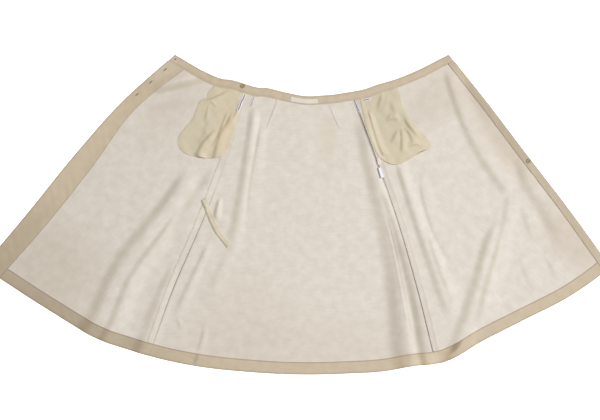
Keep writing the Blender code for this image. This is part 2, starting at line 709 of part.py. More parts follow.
def make_button(skirt, name, x, y):
    """Make a turned button with a raised rim and four holes, lying on the pile."""
    floor = skirt.top(x, y, BUTTON_RADIUS) + GAP
    dish = BUTTON_HEIGHT - BUTTON_DISH
    profile = (
        (0.0, dish), (BUTTON_RADIUS - 2 * BUTTON_RIM, dish),
        (BUTTON_RADIUS - BUTTON_RIM, BUTTON_HEIGHT),
        (BUTTON_RADIUS - BUTTON_EDGE / 2, BUTTON_HEIGHT),
        (BUTTON_RADIUS, BUTTON_HEIGHT - BUTTON_EDGE), (BUTTON_RADIUS, BUTTON_EDGE),
        (BUTTON_RADIUS - BUTTON_FOOT, 0.0), (0.0, 0.0),
    )
    mesh = bpy.data.meshes.new(name)
    corners = [(radius * MM, 0.0, height * MM) for radius, height in profile]
    edges = [(i, i + 1) for i in range(len(corners) - 1)]
    mesh.from_pydata(corners, edges, [])
    button = bpy.data.objects.new(name, mesh)
    skirt.finish(button, "button")
    turned = button.modifiers.new("turned", "SCREW")
    turned.steps = 24
    turned.render_steps = 24
    turned.use_merge_vertices = True
    turned.merge_threshold = 0.00001
    turned.use_normal_calculate = True
    button.location = (x * MM, y * MM, floor * MM)
    bm = bmesh.new()
    for step in range(BUTTON_HOLES):
        turn = Matrix.Rotation(math.radians(45 + 360 / BUTTON_HOLES * step), 4, "Z")
        offset = Matrix.Translation((BUTTON_HOLE_OFFSET * MM, 0, BUTTON_HEIGHT / 2 * MM))
        bmesh.ops.create_cone(
            bm, cap_ends=True, segments=8, radius1=BUTTON_HOLE_RADIUS * MM,
            radius2=BUTTON_HOLE_RADIUS * MM, depth=2 * BUTTON_HEIGHT * MM,
            matrix=turn @ offset)
    holes = bpy.data.meshes.new(name + "_hole_cutter")
    bm.to_mesh(holes)
    bm.free()
    cutter = bpy.data.objects.new(name + "_hole_cutter", holes)
    cutter.location = button.location
    hide_cutter(skirt, cutter)
    cut(button, cutter)


def make_buttons(skirt):
    """Make the button on the waistband and the one on the underlap edge."""
    make_button(skirt, "waist_button", *WAIST_BUTTON)
    spot, _ = edge_place("underlap_edge", EDGE_BUTTON_DOWN, EDGE_BUTTON_INSET)
    make_button(skirt, "edge_button", *spot)


def clear_scene():
    """Remove what the scene starts with."""
    for thing in list(bpy.data.objects):
        bpy.data.objects.remove(thing, do_unlink=True)


def main():
    """Build the skirt from the panels up to what lies on top of them."""
    clear_scene()
    skirt = Skirt()
    grids = make_panels(skirt)
    make_waistband(skirt)
    make_facings(skirt, grids)
    make_hem(skirt, grids)
    make_allowances(skirt, grids)
    make_darts(skirt)
    make_pocket_bags(skirt)
    make_loops(skirt)
    make_strap(skirt)
    make_labels(skirt)
    make_buttons(skirt)
    cut_buttonholes(skirt)


main()
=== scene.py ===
"""Looks of an A-line wrap skirt, opened out and laid flat with its wrong side up.

The waist lies at +Y and the hem at -Y, with the overlap front at -X and the underlap
front at +X. Sizes are in millimetres up to the moment a mesh is made, which is in
metres. Every piece of cloth is read from one map: how far a place is along the hem
from the overlap edge, and how far it is down from the top of the waistband as a share
of the skirt's length. The folds stand up from that flat map.
"""

import logging
import math
from dataclasses import dataclass, field
from enum import Enum

import bmesh
import bpy
import numpy as np
from mathutils import Matrix, Vector
from mathutils.bvhtree import BVHTree

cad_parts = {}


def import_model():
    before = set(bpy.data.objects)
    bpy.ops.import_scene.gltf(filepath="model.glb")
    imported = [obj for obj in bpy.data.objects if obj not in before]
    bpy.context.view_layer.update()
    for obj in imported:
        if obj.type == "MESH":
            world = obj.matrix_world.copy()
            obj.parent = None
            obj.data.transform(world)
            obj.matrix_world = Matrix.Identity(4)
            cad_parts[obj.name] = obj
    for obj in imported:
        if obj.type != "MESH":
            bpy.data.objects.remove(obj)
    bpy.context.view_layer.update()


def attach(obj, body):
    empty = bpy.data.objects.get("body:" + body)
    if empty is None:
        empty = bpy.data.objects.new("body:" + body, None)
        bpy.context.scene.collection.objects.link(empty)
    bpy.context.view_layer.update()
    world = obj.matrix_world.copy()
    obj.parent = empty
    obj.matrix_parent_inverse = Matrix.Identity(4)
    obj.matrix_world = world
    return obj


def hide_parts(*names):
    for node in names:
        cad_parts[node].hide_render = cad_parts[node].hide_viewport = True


LOG = logging.getLogger("wrap_skirt")
Colour = tuple[float, float, float]
Socket = bpy.types.NodeSocket
MM = 0.001
BODY = "root"

# Driving sizes, in millimetres
SKIRT_LENGTH = 834.0
BAND_DEPTH = 27.0
HEM_DEPTH = 36.0
GAP = 0.3
SEAM_GAP = 0.04
CLOTH = 0.9                 # one layer of the main cloth
PANEL_LIFT = 0.3            # underside of the panels over the folds' flat
TURNED_LIFT = 1.32          # underside of the layers turned onto the panels
FLOOR_GAP = 0.1             # under a rolled border
BAG_GAP = 0.2               # between a pocket bag and the waist seam
THREAD_LIFT = 0.1           # of a stitch's middle over the cloth
SPACING = 4.6               # between the points of the panels' meshes
NARROW_SPACING = 2.4        # between those of strips up to the next width
WIDE_STRIP = 120.0
BORDER_COLUMN = 1.6         # from a panel's border to the column beside it
OVAL_BORDER = 0.6          # share of an oval mark over which it fades in
LABEL_DOWN = 16.2           # middle of the back label, from the top of the waistband
WAIST_SEAM = BAND_DEPTH / SKIRT_LENGTH
HEM_TURN = 1.0 - HEM_DEPTH / SKIRT_LENGTH


@dataclass(frozen=True)
class Section:
    """One line down the cloth, from the top of the waistband to the hem."""

    name: str
    waist_x: float
    waist_y: float
    hem_x: float
    hem_y: float
    bow_high: float
    bow_middle: float
    bow_low: float


BOW_SHARES = (0.0, 0.25, 0.5, 0.75, 1.0)    # share down of each bow, and of both ends
SECTIONS = (
    Section("overlap_edge", -363, 479, -940, -158, -22, -20, -8),
    Section("overlap_facing", -314, 450, -889, -191, -35, -15, -2),
    Section("overlap_outer", -274, 428, -745, -284, -12, -6, 0),
    Section("overlap_inner", -223, 407, -589, -374, 0, 0, -3),
    Section("overlap_allowance", -164, 395, -459, -418, 16, 12, -1),
    Section("overlap_seam", -146, 389, -442, -423, 16, 12, -1),
    Section("back_overlap_side", -85, 379, -295, -455, 8, 6, 0),
    Section("back_overlap_inner", -28, 365, -151, -471, 3, 3, 0),
    Section("centre_back", 29, 355, -4, -479, 0, 0, 0),
    Section("back_underlap_inner", 77, 357, 140, -477, 3, 3, 3),
    Section("back_underlap_side", 122, 361, 287, -466, 8, 12, 9),
    Section("back_ridge", 146, 365, 335, -456, 11, 16, 12),
    Section("underlap_seam", 166, 368, 419, -447, 12, 18, 13),
    Section("underlap_allowance", 183, 371, 437, -444, 12, 18, 13),
    Section("hem_corner", 197, 374, 458, -436, 10, 16, 12),
    Section("underlap_inner", 239, 388, 551, -383, 6, 9, 6),
    Section("underlap_middle", 305, 408, 686, -314, 3, 4, 3),
    Section("underlap_outer", 374, 437, 821, -244, 1, 1, 1),
    Section("underlap_facing", 439, 470, 922, -172, 4, 4, 5),
    Section("underlap_edge", 457, 479, 940, -156, 4, 4, 5),
)


@dataclass(frozen=True)
class Fold:
    """A soft ridge: four points down the middle of its steep flank, and its sizes."""

    name: str
    start_x: float
    start_y: float
    upper_x: float
    upper_y: float
    lower_x: float
    lower_y: float
    end_x: float
    end_y: float
    height: float
    steep: float            # width of the flank that the line runs down
    gentle: float           # width of the flank beyond the crest
    rise: float             # share of the length over which it rises
    fall: float             # share over which it dies out, 0 where it runs off the hem


PANEL_FOLDS = (
    Fold("overlap_main", -319, 154, -406, 25, -538, -143, -610, -296, 8.6, 42, 76, 0.15, 0.0),
    Fold("overlap_second", -349, 19, -415, -71, -496, -182, -559, -329, 5.6, 25, 44, 0.2, 0.0),
    Fold("overlap_short", -238, 157, -284, 88, -338, 4, -385, -107, 4.2, 34, 50, 0.2, 0.4),
    Fold("low_overlap_seam", -361, -131, -400, -206, -430, -278, -460, -359, 4.6, 30, 34, 0.3, 0.0),
    Fold("back_beside_seam", -257, -62, -289, -134, -333, -227, -379, -329, 3.0, 18, 22, 0.25, 0.3),
    Fold("back_long", -130, 340, -152, 190, -179, 20, -220, -161, 4.4, 28, 26, 0.12, 0.3),
    Fold("back_long_second", -103, 298, -120, 199, -139, 79, -151, -62, 2.6, 14, 34, 0.25, 0.35),
    Fold("back_long_low", -202, -107, -232, -161, -256, -209, -280, -272, 2.2, 26, 36, 0.4, 0.5),
    Fold("beside_strap", -230, 55, -239, 25, -244, 1, -244, -23, 4.4, 11, 15, 0.3, 0.3),
    Fold("low_crease_a", -277, -332, -281, -355, -288, -383, -301, -416, 2.0, 10, 18, 0.3, 0.3),
    Fold("low_fold_b", -358, -311, -355, -322, -352, -334, -350, -348, 1.4, 8, 14, 0.4, 0.4),
    Fold("back_ridge", 176, 322, 213, 139, 268, -92, 302, -392, 7.6, 50, 30, 0.15, 0.0),
    Fold("seam_tuck", 263, 28, 293, -86, 321, -221, 351, -383, 1.6, 6, 7, 0.3, 0.15),
    Fold("seam_tuck_inner", 256, 4, 284, -92, 310, -224, 338, -370, 1.0, 5, 6, 0.3, 0.2),
    Fold("seam_valley", 250, 95, 294, -41, 335, -218, 370, -401, 5.2, 24, 30, 0.15, 0.0),
    Fold("underlap_first", 296, 163, 344, 7, 400, -158, 455, -320, 4.6, 25, 34, 0.1, 0.12),
    Fold("underlap_second", 365, 145, 377, 58, 413, -59, 482, -173, 1.8, 15, 40, 0.25, 0.35),
    Fold("underlap_second_low", 386, -32, 413, -122, 440, -197, 476, -281, 2.4, 16, 28, 0.3, 0.3),
    Fold("underlap_main", 608, 4, 569, -80, 536, -197, 473, -384, 7.2, 34, 46, 0.2, 0.0),
    Fold("underlap_turned", 629, 19, 606, -80, 574, -191, 535, -347, 5.0, 24, 48, 0.35, 0.2),
    Fold("underlap_high_a", 440, 440, 498, 271, 554, 163, 636, 49, 5.2, 28, 56, 0.12, 0.1),
    Fold("underlap_high_b", 634, 70, 628, 19, 622, -17, 614, -68, 2.8, 26, 40, 0.3, 0.35),
    Fold("underlap_edge_a", 503, 400, 533, 340, 563, 304, 593, 256, 2.4, 44, 44, 0.4, 0.4),
    Fold("underlap_edge_b", 650, 190, 685, 88, 743, -2, 804, -131, 5.4, 38, 58, 0.25, 0.4),
    Fold("underlap_low_a", 662, 34, 680, -2, 698, -53, 716, -107, 2.4, 20, 38, 0.4, 0.5),
    Fold("underlap_low_b", 662, -115, 677, -158, 692, -194, 719, -244, 1.7, 18, 32, 0.4, 0.3),
    Fold("underlap_low_c", 740, -115, 755, -146, 770, -176, 795, -212, 1.9, 18, 32, 0.4, 0.3),
    Fold("overlap_corner", -440, 355, -400, 370, -345, 386, -281, 402, 6.4, 26, 36, 0.35, 0.4),
)
WIDTH_GROWTH = 0.5          # how much a fold widens from its start to its end
FLANK_SHADE_RISE = 5.0            # how soon a steeper flank gets the full painted shade


def smooth(knots: np.ndarray, values: np.ndarray, at: np.ndarray) -> np.ndarray:
    """Read a smooth curve that passes through every value.

    Args:
        knots: where the values stand, in rising order.
        values: one number or row of numbers at each knot.
        at: where to read the curve.

    Returns:
        The curve's values at the places asked for.
    """
    knots, values, at = (np.asarray(item, float) for item in (knots, values, at))
    slopes = np.gradient(values, knots, axis=0)
    left = np.clip(np.searchsorted(knots, at, side="right") - 1, 0, len(knots) - 2)
    span = knots[left + 1] - knots[left]
    t = (at - knots[left]) / span
    if values.ndim > 1:
        t, span = t[..., None], span[..., None]
    start = (1 + 2 * t) * (1 - t) ** 2 * values[left]
    end = t * t * (3 - 2 * t) * values[left + 1]
    leave = t * (1 - t) ** 2 * span * slopes[left]
    arrive = t * t * (t - 1) * span * slopes[left + 1]
    return start + end + leave + arrive


def ramp(x: np.ndarray) -> np.ndarray:
    """Go softly from 0 to 1."""
    x = np.clip(x, 0.0, 1.0)
    return x * x * (3 - 2 * x)


def read(table: tuple[tuple[float, float], ...], at: np.ndarray) -> np.ndarray:
    """Read a table of rising places and their values."""
    return np.interp(at, *zip(*table))


def added(name: str, data: bpy.types.ID) -> bpy.types.Object:
    """Put a new object into the scene and return it."""
    thing = bpy.data.objects.new(name, data)
    bpy.context.scene.collection.objects.link(thing)
    return thing


@dataclass(frozen=True)
class Rumple:
    """The slight unevenness of cloth that was once pressed, as a sum of waves."""

    depth: float
    longest: float
    shortest: float
    waves: int
    seed: int

    def height(self, places: np.ndarray) -> np.ndarray:
        """Return how far the cloth swells at each flat place."""
        rng = np.random.default_rng(self.seed)
        total = np.zeros(places.shape[:-1])
        for _ in range(self.waves):
            angle = rng.uniform(0, math.pi)
            length = rng.uniform(self.shortest, self.longest)
            phase = rng.uniform(0, math.tau)
            across = places[..., 0] * math.cos(angle) + places[..., 1] * math.sin(angle)
            total += np.sin(across * math.tau / length + phase)
        return total * self.depth / math.sqrt(self.waves)


@dataclass
class Cloth:
    """The map of the laid-out cloth, with its folds.

    Args:
        sections: the lines down the cloth, from the overlap edge on.
        folds: the ridges that stand up from it.
        rumple: the small unevenness between the folds.
    """

    sections: tuple[Section, ...] = SECTIONS
    folds: tuple[Fold, ...] = PANEL_FOLDS
    rumple: Rumple = Rumple(0.22, 150.0, 45.0, 18, 5)
    waist: np.ndarray = field(init=False)
    hem: np.ndarray = field(init=False)
    bows: np.ndarray = field(init=False)
    along_hem: np.ndarray = field(init=False)

    def __post_init__(self) -> None:
        """Turn the sections' columns into arrays."""
        rows = self.sections
        self.waist = np.array([(row.waist_x, row.waist_y) for row in rows], float)
        self.hem = np.array([(row.hem_x, row.hem_y) for row in rows], float)
        self.bows = np.array([(row.bow_high, row.bow_middle, row.bow_low) for row in rows])
        steps = np.linalg.norm(np.diff(self.hem, axis=0), axis=1)
        self.along_hem = np.concatenate(([0.0], np.cumsum(steps)))

    def along(self, name: str) -> float:
        """Return the distance along the hem at which a section stands."""
        return float(self.along_hem[[row.name for row in self.sections].index(name)])

    def place(self, along: np.ndarray, down: np.ndarray) -> np.ndarray:
        """Return the flat places on the cloth.

        Args:
            along: distances along the hem.
            down: shares of the length, the same shape or one number.

        Returns:
            Flat places, in millimetres.
        """
        along, down = np.broadcast_arrays(np.asarray(along, float), np.asarray(down, float))
        waist = smooth(self.along_hem, self.waist, along)
        run = smooth(self.along_hem, self.hem, along) - waist
        shares = smooth(BOW_SHARES, np.eye(len(BOW_SHARES)), down)[..., 1:-1]
        bow = (smooth(self.along_hem, self.bows, along) * shares).sum(-1)
        side = np.stack((-run[..., 1], run[..., 0]), axis=-1)
        side /= np.linalg.norm(side, axis=-1, keepdims=True)
        return waist + down[..., None] * run + bow[..., None] * side

    def height(self, places: np.ndarray) -> np.ndarray:
        """Return how high the folds and the rumple lift the cloth."""
        swell = self.rumple.height(places) + 2 * self.rumple.depth
        return fold_relief(places, self.folds)[0] + np.maximum(swell, 0)

    def columns(self, first: str, last: str, spacing: float = SPACING) -> np.ndarray:
        """Return evenly spaced distances along the hem between two sections."""
        start, end = self.along(first), self.along(last)
        return np.linspace(start, end, max(2, round((end - start) / spacing) + 1))

    def panel_columns(self, first: str, last: str) -> np.ndarray:
        """Return a panel's columns, with one more close beside each of its borders."""
        along = self.columns(first, last)
        return np.insert(along, (1, len(along) - 1), (
            along[0] + BORDER_COLUMN, along[-1] - BORDER_COLUMN))

    def surface(self, along: np.ndarray, down: np.ndarray, lift: float) -> np.ndarray:
        """Return the points of a layer of cloth that follows the folds.

        Args:
            along: distances along the hem, one for each column.
            down: shares of the length, one for each row.
            lift: how far the layer lies over the folds' flat.

        Returns:
            A grid of points, columns by rows by three.
        """
        flat = self.place(along[:, None], down[None, :])
        return np.concatenate((flat, (self.height(flat) + lift)[..., None]), axis=-1)


def fold_relief(places: np.ndarray, folds: tuple[Fold, ...]) -> tuple[np.ndarray, np.ndarray]:
    """Return how high the folds lift the cloth, and how much painted shade lies on their steep
    sides.

    Args:
        places: flat places, in millimetres.
        folds: the rows of a table of folds.

    Returns:
        Heights in millimetres, and each place's share of painted shade on the folds' steep sides.
    """
    total, flank_shade = np.zeros(places.shape[:-1]), np.zeros(places.shape[:-1])
    for row in folds:
        start = np.array((row.start_x, row.start_y), float)
        run = np.array((row.end_x, row.end_y), float) - start
        length = np.linalg.norm(run)
        side = np.array((-run[1], run[0])) / length
        inner = np.array(((row.upper_x, row.upper_y), (row.lower_x, row.lower_y))) - start
        knots = np.concatenate(((0.0,), inner @ run / length ** 2, (1.0,)))
        bows = np.concatenate(((0.0,), inner @ side, (0.0,)))
        t = (places - start) @ run / length ** 2
        off = (places - start) @ side - smooth(knots, bows, np.clip(t, 0, 1))
        growth = 1 - WIDTH_GROWTH / 2 + WIDTH_GROWTH * np.clip(t, 0, 1)
        off = off / growth - row.steep / 2
        width = np.where(off < 0, row.steep, row.gentle)
        across = 0.5 + 0.5 * np.cos(math.pi * np.clip(np.abs(off) / width, 0, 1))
        ends = ramp(t / row.rise)
        if row.fall:
            ends = ends * ramp((1 - t) / row.fall)
        total += row.height * across * ends
        steepness = np.sin(math.pi * np.clip(-off / row.steep, 0, 1)) ** 2
        flank_shade += steepness * ends * min(1.0, FLANK_SHADE_RISE * row.height / row.steep)
    return total, np.clip(flank_shade, 0, 1)


# ---------------------------------------------------------------- finishes


@dataclass(frozen=True)
class StainAndPaintedLight:
    """A soft oval of colour on the cloth, in millimetres, used for one real mark and for painted
    shade and painted light.
    """

    x: float
    y: float
    half_width: float
    half_length: float
    angle: float
    colour: Colour
    strength: float


class NodeGraph:
    """Short ways to add the nodes that the finishes and the stitches share."""

    def __init__(self, tree: bpy.types.NodeTree) -> None:
        """Keep the tree that the nodes go into."""
        self.tree = tree

    def add(self, kind: str, inputs: dict[str | int, object] | None = None,
            **settings: object) -> bpy.types.Node:
        """Add a node.

        Args:
            kind: its type.
            inputs: the socket or the value that goes into each input.
            settings: its plain settings.

        Returns:
            The node.
        """
        node = self.tree.nodes.new(kind)
        for name, value in settings.items():
            setattr(node, name, value)
        for key, value in (inputs or {}).items():
            if isinstance(value, bpy.types.NodeSocket):
                self.tree.links.new(value, node.inputs[key])
            else:
                node.inputs[key].default_value = value
        return node

    def noise(self, place: Socket, scale: float, detail: float) -> Socket:
        """Return even noise over a place."""
        return self.add("ShaderNodeTexNoise", {
            "Vector": place, "Scale": scale, "Detail": detail}).outputs["Fac"]

    def streaks(self, uv: Socket, length: float, width: float, detail: float) -> Socket:
        """Return noise drawn out along the cloth's weft, in millimetres."""
        mapping = self.add("ShaderNodeMapping", {
            "Vector": uv, "Scale": (1000 / length, 1000 / width, 1.0)})
        return self.noise(mapping.outputs["Vector"], 1.0, detail)

    def mix_value(self, first: Socket, second: Socket, share: float) -> Socket:
        """Return two values mixed, with the second one's share."""
        return self.add("ShaderNodeMix", {
            "Factor": share, "A": first, "B": second}).outputs["Result"]

    def mix_colour(self, share: Socket, first: Socket | Colour,
                   second: Socket | Colour) -> Socket:
        """Return two colours mixed."""
        first, second = (value if isinstance(value, bpy.types.NodeSocket) else (*value, 1.0)
                         for value in (first, second))
        return self.add("ShaderNodeMix", {0: share, 6: first, 7: second},
                        data_type="RGBA").outputs[2]

    def spread(self, value: Socket, low: float, high: float) -> Socket:
        """Return a value stretched from low..high to 0..1."""
        return self.add("ShaderNodeMapRange", {
            "From Min": low, "From Max": high, "Value": value}).outputs["Result"]

    def times(self, value: Socket, factor: Socket | float) -> Socket:
        """Return a value times a number or another value."""
        return self.add("ShaderNodeMath", {0: value, 1: factor},
                        operation="MULTIPLY").outputs[0]

    def share(self, name: str) -> Socket:
        """Return one of the shares that a mesh carries at its points."""
        return self.add("ShaderNodeAttribute", attribute_name=name).outputs["Fac"]

    def oval(self, place: Socket, mark: StainAndPaintedLight) -> Socket:
        """Return a soft oval's strength, from its middle outward."""
        mapping = self.add("ShaderNodeMapping", {
            "Vector": place, "Location": (mark.x * MM, mark.y * MM, 0),
            "Rotation": (0, 0, math.radians(mark.angle)),
            "Scale": (mark.half_width * MM, mark.half_length * MM, 1)}, vector_type="TEXTURE")
        gradient = self.add("ShaderNodeTexGradient", {"Vector": mapping.outputs["Vector"]},
                            gradient_type="SPHERICAL")
        return self.add("ShaderNodeMapRange", {
            "Value": gradient.outputs["Fac"], "From Max": OVAL_BORDER,
            "To Max": mark.strength}).outputs["Result"]

    def dress(self, shader: bpy.types.Node, colour: Socket, height: Socket,
              strength: float, depth: float) -> None:
        """Give the shader its colour and a relief, whose depth is in metres."""
        bump = self.add("ShaderNodeBump", {
            "Height": height, "Strength": strength, "Distance": depth})
        self.tree.links.new(bump.outputs["Normal"], shader.inputs["Normal"])
        self.tree.links.new(colour, shader.inputs["Base Color"])


@dataclass(frozen=True)
class Finish:
    """What every finish has: its name, a slot name and its two colours."""

    name: str
    slot: str | None
    colour: Colour
    shade: Colour

    def material(self) -> bpy.types.Material:
        """Return the finish's material, which is built once."""
        made = bpy.data.materials.get(self.name)
        if not made:
            made = bpy.data.materials.new(self.name)
            made.use_nodes = True
            self.build(NodeGraph(made.node_tree), made.node_tree.nodes["Principled BSDF"])
        return made

    def build(self, graph: NodeGraph, shader: bpy.types.Node) -> None:
        """Give the shader the finish's looks."""
        raise NotImplementedError


@dataclass(frozen=True)
class ClothFinish(Finish):
    """A woven cloth: two thread colours, slubs, mottling, weave relief and sheen, with real marks,
    painted shade and painted light over them.
    """

    # colour of the painted shade that the mesh's share lays along seams, borders, rims and edges
    painted_shade_colour: Colour
    # colour of the painted warm shade on the folds' steep sides and beside the underlap seam
    fold_shade_colour: Colour
    slub_length: float = 30.0
    slub_width: float = 6.0
    thread: float = 0.8
    mottle: float = 0.5
    relief: float = 0.35
    roughness: float = 0.7
    sheen: float = 0.15
    marks_and_painted_light: tuple[StainAndPaintedLight, ...] = ()
    # share of that painted warm shade where the mesh's share is full
    fold_shade_share: float = 0.24
    sheen_roughness: float = 0.4
    specular: float = 0.3
    warp_share: float = 0.4     # of the warp among the threads
    thread_share: float = 0.25  # of the threads beside the slubs
    contrast: tuple[float, float] = (0.32, 0.68)
    patches: float = 38.0       # of mottling, in a metre
    depth: float = 0.0006       # of the weave, in metres

    def build(self, graph: NodeGraph, shader: bpy.types.Node) -> None:
        """Weave the cloth's colour and its relief."""
        shader.inputs["Roughness"].default_value = self.roughness
        shader.inputs["Sheen Weight"].default_value = self.sheen
        shader.inputs["Sheen Roughness"].default_value = self.sheen_roughness
        shader.inputs["Specular IOR Level"].default_value = self.specular
        uv = graph.add("ShaderNodeUVMap", uv_map="cloth").outputs["UV"]
        slub = graph.streaks(uv, self.slub_length, self.slub_width, 2.5)
        weft = graph.streaks(uv, self.slub_length / 4, self.thread, 1.0)
        warp = graph.streaks(uv, self.thread, self.slub_length / 3, 1.0)
        threads = graph.mix_value(weft, warp, self.warp_share)
        place = graph.add("ShaderNodeTexCoord").outputs["Object"]
        patch = graph.noise(place, self.patches, 3.0)
        weave = graph.mix_value(slub, threads, self.thread_share)
        tone_and_fold_shade = graph.spread(graph.mix_value(weave, patch, self.mottle), *self.contrast)
        colour = graph.mix_colour(tone_and_fold_shade, self.colour, self.shade)
        # ovals: one real mark, the rest painted shade and painted light
        for mark_and_shade in self.marks_and_painted_light:
            colour = graph.mix_colour(graph.oval(place, mark_and_shade), colour, mark_and_shade.colour)
        # painted warm shade on the folds' steep sides and beside the underlap seam, from the mesh's
        # share
        warm_fold_shade = graph.times(graph.share("tone_and_fold_shade"), self.fold_shade_share)
        colour = graph.mix_colour(warm_fold_shade, colour, self.fold_shade_colour)
        # painted shade along seams, strip borders, stitch rows, lifted rims and strip edges
        colour = graph.mix_colour(graph.share("crease"), colour, self.painted_shade_colour)
        graph.dress(shader, colour, graph.mix_value(slub, threads, 0.5), self.relief, self.depth)


@dataclass(frozen=True)
class PlainFinish(Finish):
    """A smooth small thing, such as a button, a thread or a ribbon."""

    grain: float                # size of the colour's patches, in millimetres
    roughness: float = 0.5
    coat: float = 0.0
    relief: float = 0.1
    contrast: tuple[float, float] = (0.35, 0.65)
    depth: float = 0.0003       # of the relief, in metres

    def build(self, graph: NodeGraph, shader: bpy.types.Node) -> None:
        """Mottle the colour softly, with a relief from the same patches."""
        shader.inputs["Roughness"].default_value = self.roughness
        shader.inputs["Coat Weight"].default_value = self.coat
        place = graph.add("ShaderNodeTexCoord").outputs["Object"]
        patch = graph.noise(place, 1000.0 / self.grain, 2.0)
        tone_and_fold_shade = graph.spread(patch, *self.contrast)
        colour = graph.mix_colour(tone_and_fold_shade, self.colour, self.shade)
        graph.dress(shader, colour, patch, self.relief, self.depth)


# colour of the painted shade ovals
PAINTED_SHADE = (0.60, 0.51, 0.40)
# INNER's first oval is a real yellowish mark on the cloth; every other oval on it is painted shade.
INNER = ClothFinish(
    "greige_wrong_side", "inner_cloth", (0.820, 0.755, 0.685), (0.715, 0.645, 0.572),
    (0.10, 0.07, 0.045), (0.55, 0.48, 0.32), mottle=0.62, relief=0.2, marks_and_painted_light=(
        StainAndPaintedLight(97, 225, 34, 90, 0, (0.70, 0.62, 0.47), 0.45),
        StainAndPaintedLight(622, 232, 75, 260, 37, PAINTED_SHADE, 0.55),
        StainAndPaintedLight(836, -62, 110, 170, 37, PAINTED_SHADE, 0.52),
        StainAndPaintedLight(-730, -165, 190, 190, 0, PAINTED_SHADE, 0.36),
        StainAndPaintedLight(-352, 385, 105, 15, 13, (0.54, 0.47, 0.35), 0.48),
        StainAndPaintedLight(-373, 326, 90, 20, 9, PAINTED_SHADE, 0.30),
        StainAndPaintedLight(-10, -440, 520, 170, 0, PAINTED_SHADE, 0.22),
        StainAndPaintedLight(420, 350, 90, 190, -60, PAINTED_SHADE, 0.34),
        StainAndPaintedLight(-360, 330, 90, 220, -40, PAINTED_SHADE, 0.20),
        StainAndPaintedLight(-165, -300, 200, 160, 0, PAINTED_SHADE, 0.14)))
# OUTER's dark ovals are painted shade and painted shadow; its light ones are painted light.
OUTER = ClothFinish(
    "tan_right_side", "outer_cloth", (0.655, 0.545, 0.405), (0.590, 0.485, 0.352),
    (0.14, 0.10, 0.06), (0.38, 0.26, 0.12), slub_length=24.0, slub_width=8.0,
    roughness=0.55, sheen=0.1, marks_and_painted_light=(
        StainAndPaintedLight(-700, -330, 200, 420, 68, (0.42, 0.35, 0.26), 0.55),
        StainAndPaintedLight(690, 170, 90, 480, 37, (0.45, 0.38, 0.28), 0.62),
        StainAndPaintedLight(-400, 440, 70, 90, 0, (0.72, 0.62, 0.50), 0.40),
        StainAndPaintedLight(-640, 190, 60, 300, -38, (0.74, 0.62, 0.47), 0.40),
        StainAndPaintedLight(-830, -90, 70, 170, -38, (0.42, 0.35, 0.26), 0.25),
        StainAndPaintedLight(478, -396, 34, 11, 49, (0.34, 0.27, 0.19), 0.75),
        StainAndPaintedLight(-478, -388, 30, 20, -20, (0.42, 0.34, 0.25), 0.28),
        StainAndPaintedLight(-300, -432, 9, 26, -20, (0.40, 0.32, 0.23), 0.50),
        StainAndPaintedLight(390, -440, 70, 22, 10, (0.74, 0.62, 0.47), 0.35)))
SEAM = ClothFinish(
    "seam_edge_cloth", "seam_cloth", (0.805, 0.740, 0.662), (0.715, 0.648, 0.568),
    (0.10, 0.07, 0.045), (0.50, 0.42, 0.28), slub_length=10.0)
# A darker copy of SEAM: painted shade on the underlap allowance.
SHADED_SEAM = ClothFinish(
    "shaded_seam_edge_cloth", "seam_cloth", (0.715, 0.650, 0.580), (0.630, 0.570, 0.500),
    (0.10, 0.07, 0.045), (0.50, 0.42, 0.28), slub_length=10.0)
# POCKET's ovals are painted shade on the bags.
POCKET = ClothFinish(
    "pocket_sheeting", "pocket_cloth", (0.735, 0.640, 0.480), (0.665, 0.575, 0.425),
    (0.12, 0.09, 0.05), (0.42, 0.34, 0.18), slub_length=12.0, slub_width=2.0, thread=0.6,
    roughness=0.6, fold_shade_share=0.34, marks_and_painted_light=(
        StainAndPaintedLight(290, 300, 110, 150, 0, (0.58, 0.53, 0.40), 0.45),
        StainAndPaintedLight(-290, 250, 60, 130, -20, (0.64, 0.59, 0.45), 0.40),
        StainAndPaintedLight(-215, 250, 26, 90, -25, (0.72, 0.58, 0.40), 0.40)))
RIBBON = ClothFinish(
    "satin_ribbon", "ribbon", (0.80, 0.76, 0.80), (0.72, 0.68, 0.73), (0.10, 0.07, 0.11),
    (0.5, 0.4, 0.5), slub_length=5.0, slub_width=0.6, thread=0.4, roughness=0.4, sheen=0.3)
PINK_RIBBON = ClothFinish(
    "pink_satin_ribbon", "ribbon", (0.74, 0.64, 0.64), (0.66, 0.55, 0.56), (0.18, 0.10, 0.10),
    (0.5, 0.4, 0.4), slub_length=5.0, slub_width=0.6, thread=0.4, roughness=0.4, sheen=0.3)
STRAP_END = ClothFinish(
    "strap_end_cloth", "outer_cloth", (0.800, 0.730, 0.590), (0.700, 0.630, 0.490),
    (0.18, 0.14, 0.08), (0.40, 0.32, 0.14), slub_length=14.0, slub_width=3.0)
STRAP = ClothFinish(
    "strap_cloth", "outer_cloth", (0.760, 0.680, 0.520), (0.640, 0.560, 0.400),
    (0.18, 0.14, 0.08), (0.40, 0.32, 0.14), slub_length=14.0, slub_width=3.0)
LABEL = ClothFinish(
    "label_tape", "label", (0.82, 0.78, 0.70), (0.74, 0.70, 0.62), (0.12, 0.09, 0.07),
    (0.5, 0.4, 0.3), slub_length=4.0, slub_width=0.5, thread=0.4, roughness=0.6)
BUTTON = PlainFinish(
    "horn_button", "button", (0.42, 0.36, 0.20), (0.33, 0.27, 0.13), 3.0, 0.45, 0.1)
THREAD = PlainFinish("thread", None, (0.46, 0.40, 0.31), (0.36, 0.30, 0.22), 4.0)
OLIVE_THREAD = PlainFinish("olive_thread", None, (0.26, 0.22, 0.11), (0.20, 0.16, 0.08), 4.0)
